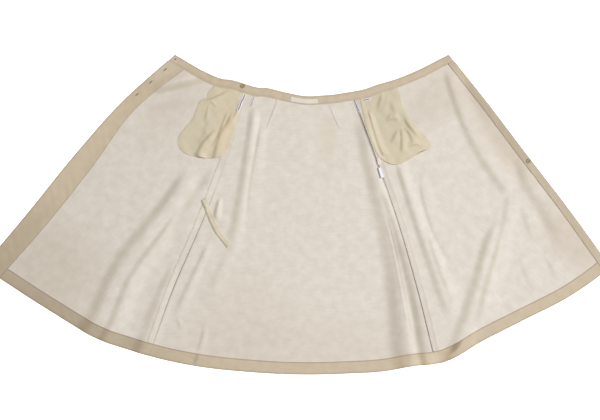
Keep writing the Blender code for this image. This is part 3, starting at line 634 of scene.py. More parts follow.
PALE_THREAD = PlainFinish("pale_thread", None, (0.78, 0.71, 0.63), (0.66, 0.59, 0.51), 5.0)
# painted shade for the sheets in the buttonholes
SHADE = PlainFinish("buttonhole_shade", None, (0.05, 0.04, 0.03), (0.03, 0.02, 0.02), 3.0)
DARK_THREAD = PlainFinish("dark_thread", None, (0.16, 0.13, 0.10), (0.10, 0.08, 0.06), 4.0)


# ---------------------------------------------------------------- making meshes


class Pile:
    """The cloth laid so far, which the next piece lies on."""

    RINGS = (0.5, 1.0)          # shares of the reach at which it is felt
    TURNS = 6                   # places on each ring

    def __init__(self) -> None:
        """Start with the bare floor."""
        self.trees: list[BVHTree] = []

    def add(self, piece: bpy.types.Object) -> bpy.types.Object:
        """Lay a finished piece on the pile and return it."""
        corners = [vertex.co for vertex in piece.data.vertices]
        faces = [face.vertices for face in piece.data.polygons]
        self.trees.append(BVHTree.FromPolygons(corners, faces))
        return piece

    def top(self, x: float, y: float) -> float:
        """Return the height of the highest cloth at a place, in millimetres."""
        above = Vector((x * MM, y * MM, 1.0))
        hits = (tree.ray_cast(above, Vector((0, 0, -1)))[0] for tree in self.trees)
        return max((hit.z / MM for hit in hits if hit), default=0.0)

    def under(self, flat: np.ndarray, reach: float) -> np.ndarray:
        """Return the pile's height at flat places, bridged over its hollows.

        Args:
            flat: a grid of flat places.
            reach: how far round each place the pile is felt.

        Returns:
            The grid of heights.
        """
        turns = np.linspace(0, math.tau, self.TURNS + 1)[:-1]
        spots = [(0.0, 0.0)] + [
            (share * reach * math.cos(turn), share * reach * math.sin(turn))
            for share in self.RINGS for turn in turns]
        heights = np.zeros(flat.shape[:-1])
        for index in np.ndindex(heights.shape):
            x, y = flat[index]
            heights[index] = max(self.top(x + dx, y + dy) for dx, dy in spots)
        return heights


def laid_over(flat: np.ndarray, heights: np.ndarray) -> np.ndarray:
    """Return a grid of points from flat places and their heights."""
    return np.concatenate((flat, heights[..., None]), axis=-1)


def softened(values: np.ndarray, rounds: int) -> np.ndarray:
    """Return a grid of heights with its steps worn smooth."""
    for _ in range(rounds):
        wide = np.pad(values, 1, mode="edge")
        values = (wide[:-2, 1:-1] + wide[2:, 1:-1] + wide[1:-1, :-2] + wide[1:-1, 2:]
                  + 2 * values) / 6
    return values


def finish_piece(piece: bpy.types.Object, node: str = "") -> bpy.types.Object:
    """Let a finished piece ride on the skirt and in its solid's place.

    Args:
        piece: the object, whose place is already in its mesh.
        node: the solid that it stands for, if it does.

    Returns:
        The piece.
    """
    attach(piece, BODY)
    if node:
        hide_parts(node)
    LOG.info("%s: %d faces", piece.name, len(piece.data.polygons))
    return piece


def signed_volume(mesh: bpy.types.Mesh) -> float:
    """Return a closed mesh's volume, below zero where it is inside out."""
    bm = bmesh.new()
    bm.from_mesh(mesh)
    volume = bm.calc_volume(signed=True)
    bm.free()
    return volume


def make_smooth(mesh: bpy.types.Mesh, sharp: float) -> None:
    """Turn a closed mesh outward and shade it smooth, but for edges past so many degrees."""
    if signed_volume(mesh) < 0:
        mesh.flip_normals()
    mesh.shade_smooth()
    mesh.set_sharp_from_angle(angle=math.radians(sharp))


@dataclass
class Shell:
    """A closed thin wall between two grids of points, with a finish on each side.

    Args:
        name: the piece's name.
        top: grid of the upper side's points, columns by rows by three, in millimetres.
        bottom: grid of the underside's points.
        upper: finish of the upper side.
        under: finish of the underside and the rim.
        grain: direction of the weft on the flat, in degrees.
        crease: how much painted shade darkens each point of the upper side, from 0 to 1.
        weave: the weft and warp places of each point, where the cloth turns.
        tone_and_fold_shade: how much painted warm shade each point of it has, from 0 to 1.
        sharp: the angle in degrees past which an edge stays sharp.
    """

    name: str
    top: np.ndarray
    bottom: np.ndarray
    upper: Finish
    under: Finish
    grain: float = 0.0
    crease: np.ndarray | None = None
    weave: np.ndarray | None = None
    tone_and_fold_shade: np.ndarray | None = None
    sharp: float = 50.0

    def build(self) -> bpy.types.Object:
        """Make the mesh and its object."""
        columns, rows = self.top.shape[:2]
        index = np.arange(columns * rows).reshape(columns, rows)
        quads = np.stack((index[:-1, :-1], index[:-1, 1:], index[1:, 1:], index[1:, :-1]), -1)
        quads = quads.reshape(-1, 4)
        border = np.concatenate((index[0, :-1], index[:-1, -1], index[-1, :0:-1], index[:0:-1, 0]))
        after = np.roll(border, -1)
        count = columns * rows
        rim = np.stack((after, border, border + count, after + count), -1)
        faces = np.concatenate((quads, quads[:, ::-1] + count, rim))
        points = np.concatenate((self.top.reshape(-1, 3), self.bottom.reshape(-1, 3))) * MM
        mesh = bpy.data.meshes.new(self.name)
        mesh.from_pydata(points.tolist(), [], faces.tolist())
        mesh.materials.append(self.upper.material())
        mesh.materials.append(self.under.material())
        slots = np.zeros(len(faces), np.int32)
        slots[len(quads):] = 1
        mesh.polygons.foreach_set("material_index", slots)
        self.add_weave(mesh)
        self.add_shares(mesh, "crease", self.crease)
        self.add_shares(mesh, "tone_and_fold_shade", self.tone_and_fold_shade)
        make_smooth(mesh, self.sharp)
        return added(self.name, mesh)

    def add_weave(self, mesh: bpy.types.Mesh) -> None:
        """Lay the weave's own map over the cloth, along its grain."""
        flat = self.top[..., :2] if self.weave is None else self.weave
        angle = math.radians(self.grain)
        turned = np.stack((
            flat[..., 0] * math.cos(angle) + flat[..., 1] * math.sin(angle),
            flat[..., 1] * math.cos(angle) - flat[..., 0] * math.sin(angle)), -1)
        both = np.concatenate((turned.reshape(-1, 2),) * 2) * MM
        corner = np.zeros(len(mesh.loops), np.int32)
        mesh.loops.foreach_get("vertex_index", corner)
        layer = mesh.uv_layers.new(name="cloth")
        layer.data.foreach_set("uv", both[corner].astype(np.float32).ravel())

    def add_shares(self, mesh: bpy.types.Mesh, name: str, shares: np.ndarray | None) -> None:
        """Write a share from 0 to 1 at each point of the upper side."""
        values = np.zeros(len(mesh.vertices), np.float32)
        if shares is not None:
            values[:shares.size] = shares.ravel()
        layer = mesh.attributes.new(name, "FLOAT", "POINT")
        layer.data.foreach_set("value", values)


class StitchKind(Enum):
    """The ways a thread is sewn: stitch length, spacing, radius and lean in degrees."""

    RUNNING = (2.3, 3.2, 0.26, 0.0)
    BLIND = (1.6, 8.0, 0.25, 35.0)
    OVERLOCK = (6.2, 2.6, 0.26, 62.0)
    BUTTONHOLE = (2.4, 0.75, 0.28, 90.0)
    TACK = (4.4, 0.8, 0.35, 90.0)
    CROSS = (3.6, 3.0, 0.3, 0.0)


class StitchTree:
    """The node tree that lays stitches along a line."""

    NAME = "stitches_along_line"

    @classmethod
    def get(cls) -> bpy.types.NodeTree:
        """Return the tree, made once."""
        return bpy.data.node_groups.get(cls.NAME) or cls.make()

    @classmethod
    def make(cls) -> bpy.types.NodeTree:
        """Build the tree with its named inputs."""
        tree = bpy.data.node_groups.new(cls.NAME, "GeometryNodeTree")
        face = tree.interface
        face.new_socket("Geometry", in_out="INPUT", socket_type="NodeSocketGeometry")
        for name in ("Spacing", "Length", "Radius", "Lean"):
            face.new_socket(name, in_out="INPUT", socket_type="NodeSocketFloat")
        face.new_socket("Thread", in_out="INPUT", socket_type="NodeSocketMaterial")
        face.new_socket("Geometry", in_out="OUTPUT", socket_type="NodeSocketGeometry")
        graph = NodeGraph(tree)
        given = graph.add("NodeGroupInput").outputs
        curve = graph.add("GeometryNodeMeshToCurve", {"Mesh": given["Geometry"]})
        spaced = graph.add("GeometryNodeResampleCurve", {
            "Curve": curve.outputs["Curve"], "Length": given["Spacing"]}, mode="LENGTH")
        stitch = graph.add("GeometryNodeMeshUVSphere", {
            "Segments": 6, "Rings": 4, "Radius": 1.0})
        index = graph.add("GeometryNodeInputIndex").outputs["Index"]
        odd = graph.add("ShaderNodeMath", {0: index, 1: 2.0}, operation="MODULO")
        sign = graph.add("ShaderNodeMath", {0: odd.outputs[0], 1: -2.0, 2: 1.0},
                         operation="MULTIPLY_ADD")
        tangent = graph.add("GeometryNodeInputTangent").outputs["Tangent"]
        turned = graph.add("ShaderNodeVectorRotate", {
            "Vector": tangent, "Angle": graph.times(given["Lean"], sign.outputs[0])},
            rotation_type="Z_AXIS")
        aligned = graph.add("FunctionNodeAlignRotationToVector", {
            "Vector": turned.outputs["Vector"]}, axis="X")
        size = graph.add("ShaderNodeCombineXYZ", {
            "X": graph.times(given["Length"], 0.5), "Y": given["Radius"],
            "Z": given["Radius"]})
        placed = graph.add("GeometryNodeInstanceOnPoints", {
            "Points": spaced.outputs["Curve"], "Instance": stitch.outputs["Mesh"],
            "Rotation": aligned.outputs["Rotation"], "Scale": size.outputs["Vector"]})
        real = graph.add("GeometryNodeRealizeInstances", {
            "Geometry": placed.outputs["Instances"]})
        dressed = graph.add("GeometryNodeSetMaterial", {
            "Geometry": real.outputs["Geometry"], "Material": given["Thread"]})
        graph.add("NodeGroupOutput", {"Geometry": dressed.outputs["Geometry"]})
        return tree


@dataclass
class Stitching:
    """Lines of stitches that make one piece.

    Args:
        name: the piece's name.
        lines: each line's points, in millimetres, over the cloth.
        kind: the way it is sewn.
        finish: the thread.
    """

    name: str
    lines: list[np.ndarray]
    kind: StitchKind
    finish: PlainFinish

    def build(self) -> bpy.types.Object:
        """Lay the stitches and turn them into a plain mesh."""
        points, edges = [], []
        for line in self.lines:
            first = len(points)
            points.extend((line * MM).tolist())
            edges.extend((first + i, first + i + 1) for i in range(len(line) - 1))
        mesh = bpy.data.meshes.new(self.name)
        mesh.from_pydata(points, edges, [])
        piece = added(self.name, mesh)
        layer = piece.modifiers.new("stitches", "NODES")
        layer.node_group = StitchTree.get()
        length, spacing, radius, lean = self.kind.value
        values = {
            "Spacing": spacing * MM, "Length": length * MM, "Radius": radius * MM,
            "Lean": math.radians(lean), "Thread": self.finish.material()}
        for item in layer.node_group.interface.items_tree:
            if item.in_out == "INPUT" and item.name in values:
                layer[item.identifier] = values[item.name]
        make_plain(piece)
        return finish_piece(piece)


def make_plain(piece: bpy.types.Object) -> None:
    """Turn an object and its modifiers into one plain mesh."""
    graph = bpy.context.evaluated_depsgraph_get()
    graph.update()
    mesh = bpy.data.meshes.new_from_object(
        piece.evaluated_get(graph), preserve_all_data_layers=True, depsgraph=graph)
    piece.modifiers.clear()
    piece.data = mesh
    mesh.name = piece.name


# ---------------------------------------------------------------- the skirt's pieces


@dataclass(frozen=True)
class SeamShadow:
    """How dark a side seam is at one share down, and how wide that shadow is."""

    down: float
    dark: float
    width: float


SEAM_SHADOWS = {
    "overlap_seam": (
        SeamShadow(0.03, 0.10, 3.4), SeamShadow(0.15, 0.12, 3.4), SeamShadow(0.28, 0.15, 3.4),
        SeamShadow(0.36, 0.20, 4.0), SeamShadow(0.50, 0.55, 5.0), SeamShadow(0.75, 0.75, 6.0),
        SeamShadow(0.90, 0.45, 5.0), SeamShadow(1.00, 0.20, 3.4)),
    "underlap_seam": (
        SeamShadow(0.03, 0.55, 11.0), SeamShadow(0.15, 0.80, 15.0), SeamShadow(0.28, 0.85, 13.0),
        SeamShadow(0.36, 0.50, 7.0), SeamShadow(0.50, 0.80, 5.0), SeamShadow(0.75, 0.92, 5.0),
        SeamShadow(0.90, 0.90, 5.0), SeamShadow(1.00, 0.60, 4.0)),
}


@dataclass(frozen=True)
class Panel:
    """One panel: its solid, the sections down its two sides and its weft, in degrees."""

    node: str
    first: str
    last: str
    grain: float


@dataclass(frozen=True)
class ValleyShade:
    """Painted shade of a soft hollow beside the underlap seam, on the back panel's side; the cloth
    itself is not lowered.

    Args:
        place: how far from the seam it runs, for each share down.
        width: how wide it is.
        depth: how strong it is, for each share down.
    """

    place: tuple[tuple[float, float], ...]
    width: float
    depth: tuple[tuple[float, float], ...]

    def shape(self, away: np.ndarray, down: np.ndarray) -> np.ndarray:
        """Return how strong the painted shade is at each point."""
        off = (away - read(self.place, down)) / self.width
        return np.exp(-off ** 2) * read(self.depth, down)


PANELS = (
    Panel("overlap_front_panel", "overlap_edge", "overlap_seam", 42.0),
    Panel("back_panel", "overlap_seam", "underlap_seam", 0.0),
    Panel("underlap_front_panel", "underlap_seam", "underlap_edge", -37.0),
)
# Place, width and strength of the painted shade beside the underlap seam, for each share down
OUTER_VALLEY_SHADE = ValleyShade(
    ((0.6, 82.0), (1.0, 109.0)), 25.0, ((0.52, 0.0), (0.75, 0.6), (1.0, 0.62)))
TROUGH_SHADE = ((0.42, 0.0), (0.58, 0.95), (0.85, 0.75), (1.0, 0.4))


@dataclass
class Panels:
    """The three panels of single cloth, greige above and tan below."""

    cloth: Cloth
    pile: Pile
    seam_depth: float = 0.9
    trough: float = 48.0        # width of the painted shade that runs along the underlap seam
    trough_floor: float = 0.6
    trough_middle: float = 0.54     # share of the width at which the painted shade is darkest
    trough_spread: float = 0.27
    trough_rim: float = 0.75    # share at which the painted shade starts to fade
    trough_rise: float = 0.4
    trough_end: float = 1.25
    # share of dark painted shade in the hollow beside the underlap seam
    trough_shade_strength: float = 0.26
    rows: int = 178

    def build(self) -> None:
        """Make the panels."""
        down = np.linspace(WAIST_SEAM + SEAM_GAP / SKIRT_LENGTH, 1.0, self.rows)
        for row in PANELS:
            along = self.cloth.panel_columns(row.first, row.last)
            along[0] += SEAM_GAP / 2 * row.first.endswith("seam")
            along[-1] -= SEAM_GAP / 2 * row.last.endswith("seam")
            top = self.cloth.surface(along, down, PANEL_LIFT + CLOTH)
            bottom = self.cloth.surface(along, down, PANEL_LIFT)
            # Painted shade: the seam shadows darken the cloth and also sink it; the shade beside
            # the underlap seam and on the folds' steep sides is colour only.
            crease, valley_shade = self.seam_dark(along, down), self.valley_shade(along, down)
            top[..., 2] -= self.seam_depth * np.clip(crease, 0, 1)
            flank_shade = fold_relief(top[..., :2], self.cloth.folds)[1]
            piece = Shell(
                "shown_" + row.node, top, bottom, INNER, OUTER, row.grain,
                crease=np.maximum(crease, self.trough_shade_strength * valley_shade),
                tone_and_fold_shade=np.maximum(flank_shade, valley_shade))
            self.pile.add(finish_piece(piece.build(), row.node))

    def seam_dark(self, along: np.ndarray, down: np.ndarray) -> np.ndarray:
        """Return how dark each point is from the shadow in a side seam."""
        total = np.zeros((len(along), len(down)))
        for seam, rows in SEAM_SHADOWS.items():
            off = np.abs(along - self.cloth.along(seam))[:, None]
            dark = read(tuple((row.down, row.dark) for row in rows), down)
            width = read(tuple((row.down, row.width) for row in rows), down)
            total += dark * (1 - ramp(off / width))
        return total

    def valley_shade(self, along: np.ndarray, down: np.ndarray) -> np.ndarray:
        """Return how strong the painted shade is at each point on the back's side of the underlap
        seam.
        """
        away = self.cloth.along("underlap_seam") - along[:, None]
        off = away / self.trough
        shape = 1 + np.exp(-((off - self.trough_middle) / self.trough_spread) ** 2)
        shape = shape - ramp((off - self.trough_rim) / self.trough_rise)
        shape = self.trough_floor * shape * (off > 0) * (off < self.trough_end)
        return np.maximum(shape * read(TROUGH_SHADE, down), OUTER_VALLEY_SHADE.shape(away, down))


class Border(Enum):
    """A border of a strip's grid: the axis that it ends, and at which end."""

    FIRST = (0, 0)
    LAST = (0, -1)
    UPPER = (1, 0)
    LOWER = (1, -1)

    def line(self, grid: np.ndarray, inward: int = 0) -> np.ndarray:
        """Return the grid's line of points at this border, or so many lines further in."""
        axis, end = self.value
        place = end - inward if end else inward
        return grid[:, place] if axis else grid[place]


@dataclass(frozen=True)
class TurnedStrip:
    """A strip of cloth turned onto the panels: a hem, a facing or an allowance.

    Args:
        node: the solid that it stands for.
        first: section at its -X end.
        last: section at its +X end.
        top: share down at its upper end.
        bottom: share down at its lower end.
        finish: the cloth that shows.
        grain: direction of its weft.
        free_edge: which border is the fold that rolls round the panel's edge.
        shaded: which border gets painted shade where it lies on the panels.
        edge_dark: how dark that painted shade is.
        rolled_dark: how dark the painted shade along the rolled border is.
        roll: how far the rolled border stands out.
        roll_drop: how far it turns down.
        pressed: how far the side borders, and the upper and lower ones, are pressed down.
        plump: how far the cloth swells beside its side borders.
        lift: how far over the folds' flat it lies.
        ripple: its small puckers.
    """

    node: str
    first: str
    last: str
    top: float
    bottom: float
    finish: ClothFinish
    grain: float
    free_edge: Border | None = None
    shaded: Border | None = None
    edge_dark: float = 0.0
    rolled_dark: float = 0.36
    roll: float = 1.6
    roll_drop: float = 0.7
    pressed: tuple[float, float] = (0.25, 0.3)
    plump: float = 0.05
    lift: float = TURNED_LIFT
    ripple: Rumple = Rumple(0.2, 60.0, 18.0, 9, 11)

    def build(self, cloth: Cloth, pile: Pile) -> bpy.types.Object:
        """Make the strip and its object."""
        across = abs(cloth.along(self.last) - cloth.along(self.first))
        spacing = SPACING if across > WIDE_STRIP else NARROW_SPACING
        along = cloth.columns(self.first, self.last, spacing)
        along[0] += GAP / 2
        along[-1] -= GAP / 2
        upper = self.top + GAP / SKIRT_LENGTH
        lower = self.bottom - GAP / SKIRT_LENGTH * (self.bottom < 1.0)
        depth = (lower - upper) * SKIRT_LENGTH
        down = np.linspace(upper, lower, max(3, round(depth / spacing) + 1))
        top = cloth.surface(along, down, self.lift + CLOTH)
        bottom = cloth.surface(along, down, self.lift)
        ripple = self.ripple.height(top[..., :2])
        top[..., 2] += ripple
        bottom[..., 2] += np.maximum(ripple, -self.ripple.depth)
        self.press_edges(top)
        self.roll_edge(top, bottom)
        # painted warm shade on the folds' steep sides, and painted shade along the strip's borders
        flank_shade = fold_relief(top[..., :2], cloth.folds)[1]
        piece = Shell("shown_" + self.node, top, bottom, self.finish, OUTER, self.grain,
                      crease=self.edge_shade(top.shape[:2]), tone_and_fold_shade=flank_shade)
        return pile.add(finish_piece(piece.build(), self.node))

    def edge_shade(self, shape: tuple[int, int]) -> np.ndarray:
        """Return the painted shade along the border that lies on the panels and along the rolled
        border.
        """
        shade = np.zeros(shape)
        for border, dark in ((self.shaded, self.edge_dark), (self.free_edge, self.rolled_dark)):
            if border:
                border.line(shade)[:] = dark
        return shade

    def press_edges(self, top: np.ndarray) -> None:
        """Draw the strip's borders down, where it is pressed and sewn."""
        for side in (Border.FIRST, Border.LAST):
            side.line(top)[:, 2] -= self.pressed[0]
            side.line(top, 1)[:, 2] += self.plump
        for end in (Border.UPPER, Border.LOWER):
            end.line(top)[:, 2] -= self.pressed[1]

    def roll_edge(self, top: np.ndarray, bottom: np.ndarray) -> None:
        """Roll the fold's border round the edge of the panel under it."""
        if not self.free_edge:
            return
        border, under = self.free_edge.line(top), self.free_edge.line(bottom)
        out = (border - self.free_edge.line(top, 1))[..., :2]
        out /= np.linalg.norm(out, axis=-1, keepdims=True)
        border[..., :2] += out * self.roll
        under[..., :2] += out * self.roll
        border[..., 2] -= self.roll_drop
        under[..., 2] -= self.lift - FLOOR_GAP


TURNED_STRIPS = (
    TurnedStrip("overlap_facing", "overlap_edge", "overlap_facing", WAIST_SEAM, 1.0, OUTER,
                -42.0, Border.FIRST, Border.LAST, 0.45),
    TurnedStrip("underlap_facing", "underlap_facing", "underlap_edge", WAIST_SEAM, 1.0, OUTER,
                53.0, Border.LAST, Border.FIRST, 0.6),
    TurnedStrip("hem_overlap", "overlap_facing", "overlap_seam", HEM_TURN, 1.0, OUTER,
                -30.0, Border.LOWER, Border.UPPER, 0.55),
    TurnedStrip("hem_back", "overlap_seam", "underlap_seam", HEM_TURN, 1.0, OUTER,
                0.0, Border.LOWER, Border.UPPER, 0.55),
    TurnedStrip("hem_underlap", "underlap_seam", "underlap_facing", HEM_TURN, 1.0, OUTER,
                30.0, Border.LOWER, Border.UPPER, 0.5),
    TurnedStrip("seam_allowance_overlap_side", "overlap_allowance", "overlap_seam", 0.24,
                HEM_TURN, SEAM, 60.0),
    TurnedStrip("seam_allowance_underlap_side", "underlap_seam", "underlap_allowance",
                WAIST_SEAM, HEM_TURN, SHADED_SEAM, -60.0),
)


@dataclass
class Waistband:
    """The doubled waistband, softly rounded, with a row of stitches by its lower edge."""

    cloth: Cloth
    pile: Pile
    spacing: float = 5.0
    height: float = 2.7
    crown: float = 0.7
    stitch_up: float = 2.6      # of the stitches over the waist seam
    stitch_down: float = 3.2    # of the upper row under the top edge
    shares: tuple[float, ...] = (0, 0.05, 0.14, 0.26, 0.42, 0.58, 0.72, 0.81, 0.89, 0.96, 1)
    dent_at: float = 0.89       # share down at which the stitches draw the band in
    dent_width: float = 0.07
    dent_depth: float = 0.5
    sewn_rows: tuple[int, int] = (2, 7)
    # how dark the painted shade along the band's edges and stitch rows is
    edge_dark: float = 0.42
    row_dark: float = 0.13
    ripple: Rumple = Rumple(0.22, 70.0, 16.0, 10, 3)

    def build(self) -> None:
        """Make the band and its stitches."""
        along = self.cloth.columns("overlap_edge", "underlap_edge", self.spacing)
        shares = np.array(self.shares)
        down = shares * WAIST_SEAM
        flat = self.cloth.place(along[:, None], down[None, :])
        round_off = 1 - np.abs(2 * shares - 1) ** 3
        height = self.height - self.crown + self.crown * round_off + self.ripple.height(flat)
        dent = np.exp(-((shares - self.dent_at) / self.dent_width) ** 2)
        height = height - self.dent_depth * dent
        top, bottom = laid_over(flat, height), laid_over(flat, np.zeros(height.shape))
        length = np.linalg.norm(np.gradient(flat[:, 0], axis=0), axis=1).cumsum()
        weave = np.stack(np.broadcast_arrays(length[:, None], down[None] * -SKIRT_LENGTH), -1)
        # painted shade along the band's edges and in its stitch rows
        dark = np.zeros(height.shape)
        dark[:, self.sewn_rows] = self.row_dark
        dark[:, 0] = dark[0] = dark[-1] = self.edge_dark
        dark[:, -1] = self.edge_dark / 2
        band = Shell("shown_waistband", top, bottom, OUTER, OUTER, crease=dark, weave=weave)
        self.pile.add(finish_piece(band.build(), "waistband"))
        lines = []
        for share in (self.stitch_down / SKIRT_LENGTH, WAIST_SEAM - self.stitch_up / SKIRT_LENGTH):
            line = self.cloth.place(along[1:-1], share)
            level = [np.interp(share, down, column) + THREAD_LIFT for column in height[1:-1]]
            lines.append(laid_over(line, np.array(level)))
        Stitching("waistband_stitches", lines, StitchKind.RUNNING, THREAD).build()


@dataclass(frozen=True)
class BagSection:
    """One line across a pocket bag, from its -X edge to its +X edge."""

    left_x: float
    left_y: float
    right_x: float
    right_y: float
    dip: float


OVERLAP_BAG = (
    BagSection(-247, 388, -160, 366, 0),
    BagSection(-265, 366, -163, 352, 0),
    BagSection(-268, 350, -165, 339, 0),
    BagSection(-291, 339, -167, 326, 0),
    BagSection(-299, 317, -170, 307, 0),
    BagSection(-313, 286, -175, 280, 0),
    BagSection(-334, 260, -184, 250, 0),
    BagSection(-352, 235, -193, 223, 0),
    BagSection(-355, 207, -199, 201, 0),
    BagSection(-342, 188, -208, 186, 0),
    BagSection(-317, 174, -221, 173, 6),
)
UNDERLAP_BAG = (
    BagSection(192, 345, 304, 380, 0),
    BagSection(196, 322, 314, 349, 0),
    BagSection(202, 294, 322, 318, 0),
    BagSection(210, 263, 340, 290, 0),
    BagSection(218, 239, 361, 262, 0),
    BagSection(226, 217, 384, 240, 3),
    BagSection(234, 198, 400, 219, 10),
    BagSection(241, 183, 402, 201, 21),
    BagSection(248, 172, 389, 191, 30),
)
OVERLAP_BAG_FOLDS = (
    Fold("right_long", -188, 318, -206, 278, -230, 236, -249, 169, 3.4, 14, 22, 0.25, 0.0),
    Fold("second_long", -203, 315, -220, 277, -232, 245, -262, 190, 1.6, 7, 14, 0.25, 0.3),
    Fold("slant", -236, 262, -263, 234, -285, 208, -301, 172, 3.0, 14, 26, 0.3, 0.0),
    Fold("upright", -264, 330, -268, 312, -272, 295, -277, 270, 1.1, 7, 12, 0.35, 0.4),
    Fold("under_band", -193, 375, -238, 354, -262, 345, -287, 340, 2.0, 9, 16, 0.3, 0.35),
    Fold("under_band_low", -262, 343, -252, 333, -243, 324, -236, 314, 1.1, 5, 10, 0.35, 0.5),
    Fold("by_seam", -172, 340, -177, 318, -186, 296, -200, 268, 1.3, 7, 12, 0.35, 0.4),
    Fold("belly", -262, 300, -272, 262, -285, 225, -305, 190, 1.6, 22, 36, 0.3, 0.3),
)
UNDERLAP_BAG_FOLDS = (
    Fold("left_edge", 213, 315, 232, 251, 247, 204, 262, 172, 3.4, 8, 16, 0.15, 0.05),
    Fold("upper_left", 256, 366, 250, 345, 244, 322, 240, 300, 2.4, 14, 22, 0.3, 0.5),
    Fold("upper_middle", 272, 364, 268, 345, 262, 325, 256, 300, 1.4, 16, 20, 0.3, 0.5),
    Fold("upper_right", 282, 350, 284, 330, 290, 312, 300, 296, 2.2, 18, 22, 0.4, 0.4),
    Fold("facet", 268, 274, 282, 284, 298, 284, 313, 276, 3.2, 16, 18, 0.35, 0.35),
    Fold("down", 313, 264, 314, 240, 315, 215, 312, 172, 3.0, 9, 20, 0.25, 0.4),
    Fold("lower_left", 306, 258, 296, 242, 288, 226, 281, 206, 2.6, 12, 24, 0.35, 0.5),
    Fold("lower_right", 321, 262, 334, 246, 344, 228, 350, 200, 2.8, 12, 24, 0.3, 0.5),
    Fold("along_right", 315, 302, 332, 272, 350, 251, 374, 222, 3.2, 12, 20, 0.35, 0.4),
    Fold("along_right_inner", 322, 280, 336, 262, 350, 244, 364, 228, 1.0, 6, 10, 0.35, 0.4),
    Fold("bottom_right", 330, 196, 344, 204, 358, 208, 378, 204, 2.0, 10, 14, 0.35, 0.35),
)


@dataclass(frozen=True)
class LiftedEdge:
    """A place where a bag's lower edge stands up, with painted shadow along its rim."""

    across: float
    half_width: float
    height: float
    # strength of the painted shadow along the rim
    dark: float


OVERLAP_BAG_LIFTS = (LiftedEdge(0.36, 0.11, 4.0, 0.9), LiftedEdge(0.66, 0.2, 0.6, 0.25))
UNDERLAP_BAG_LIFTS = (
    LiftedEdge(0.92, 0.12, 5.5, 1.0), LiftedEdge(0.62, 0.13, 2.0, 0.3),
    LiftedEdge(0.24, 0.24, 1.2, 0.85))


@dataclass
class PocketBag:
    """A crumpled pocket bag of two layers of thin cloth, lying toward its front.

    Args:
        node: the solid that it stands for.
        cloth: the map, for the waist seam that it is sewn into.
        pile: what it lies on.
        sections: the lines across it.
        lowest: share across at which it dips furthest.
        folds: its own ridges.
        lifts: the places where its lower edge stands up.
    """

    node: str
    cloth: Cloth
    pile: Pile
    sections: tuple[BagSection, ...]
    lowest: float
    folds: tuple[Fold, ...]
    lifts: tuple[LiftedEdge, ...]
    columns: int = 64
    rows: int = 86
    width: float = 130.0
    length: float = 160.0
    reach: float = 4.0
    worn: int = 6               # rounds of softening of what it lies on
    plump: float = 1.1
    edge: float = 9.0           # width of the rounded border
    edge_wall: float = 0.12     # thickness left at the very edge
    edge_sink: float = 0.25
    edge_crumple: float = 0.1   # share of the crumple left there
    sewn_in: float = 0.3        # share of the length by which its top counts as inside
    under_fold: float = 0.8     # share of the folds that its underside follows
    seam_inset: float = 5.5
    seam_width: float = 1.6
    seam_depth: float = 0.3
    top_share: float = 0.12     # of the bag that is drawn up to the waistband
    sharpness: float = 1.5      # how pointed its lowest place is
    lift_share: float = 0.14    # of the bag over which its lower edge lifts
    crumple: Rumple = Rumple(0.34, 60.0, 14.0, 16, 7)

    def flat(self) -> np.ndarray:
        """Return the bag's flat places."""
        knots = np.linspace(0, 1, len(self.sections))
        values = [(s.left_x, s.left_y, s.right_x, s.right_y, s.dip) for s in self.sections]
        lines = smooth(knots, np.array(values), np.linspace(0, 1, self.rows))
        across = np.linspace(0, 1, self.columns)
        left, right, dip = lines[:, 0:2], lines[:, 2:4], lines[:, 4]
        flat = left[None] + across[:, None, None] * (right - left)[None]
        hang = np.sin(math.pi * across ** (math.log(0.5) / math.log(self.lowest)))
        flat[..., 1] -= (hang ** self.sharpness)[:, None] * dip[None]
        seam = self.cloth.place(np.arange(self.cloth.along_hem[-1]), WAIST_SEAM)
        to_band = np.interp(flat[:, 0, 0], seam[:, 0], seam[:, 1]) - BAG_GAP - flat[:, 0, 1]
        flat[..., 1] += to_band[:, None] * ramp(1 - np.linspace(0, 1, self.rows) / self.top_share)
        return flat

    def build(self) -> None:
        """Make the bag."""
        flat = self.flat()
        base = softened(self.pile.under(flat, self.reach), self.worn) + GAP
        across = np.minimum(np.linspace(0, 1, self.columns), np.linspace(1, 0, self.columns))
        down = np.minimum(np.linspace(self.sewn_in, 1 + self.sewn_in, self.rows),
                          np.linspace(1, 0, self.rows))
        inward = np.minimum(across[:, None] * self.width, down[None, :] * self.length)
        body = np.sqrt(np.clip(1 - (1 - np.clip(inward / self.edge, 0, 1)) ** 2, 0, 1))
        crumpled = self.edge_crumple + (1 - self.edge_crumple) * body
        top = self.edge_wall + self.plump * body + self.crumple.height(flat) * crumpled
        # painted warm shade on the steep sides of the bag's folds
        folded, flank_shade = fold_relief(flat, self.folds)
        top = base + top + folded
        bottom = base - self.edge_sink * (1 - body) + self.under_fold * folded
        top -= self.seam_depth * np.exp(-((inward - self.seam_inset) / self.seam_width) ** 2)
        lift, dark = self.lifted()
        stack = [laid_over(flat, level + lift) for level in (top, bottom)]
        bag = Shell("shown_" + self.node, *stack, POCKET, POCKET, crease=dark, tone_and_fold_shade=flank_shade)
        self.pile.add(finish_piece(bag.build(), self.node))

    def lifted(self) -> tuple[np.ndarray, np.ndarray]:
        """Return how far the lower edge lifts, and how dark the painted shadow on its rim is."""
        across = np.linspace(0, 1, self.columns)[:, None]
        down = np.linspace(0, 1, self.rows)[None, :]
        near = ramp((down - 1 + self.lift_share) / self.lift_share) ** 2
        rim = (down > 0.99) * 1.0
        lift, dark = np.zeros((2, self.columns, self.rows))
        for row in self.lifts:
            share = np.exp(-((across - row.across) / row.half_width) ** 2)
            lift = lift + row.height * share * near
            dark = np.maximum(dark, row.dark * share * rim)
        return lift, dark


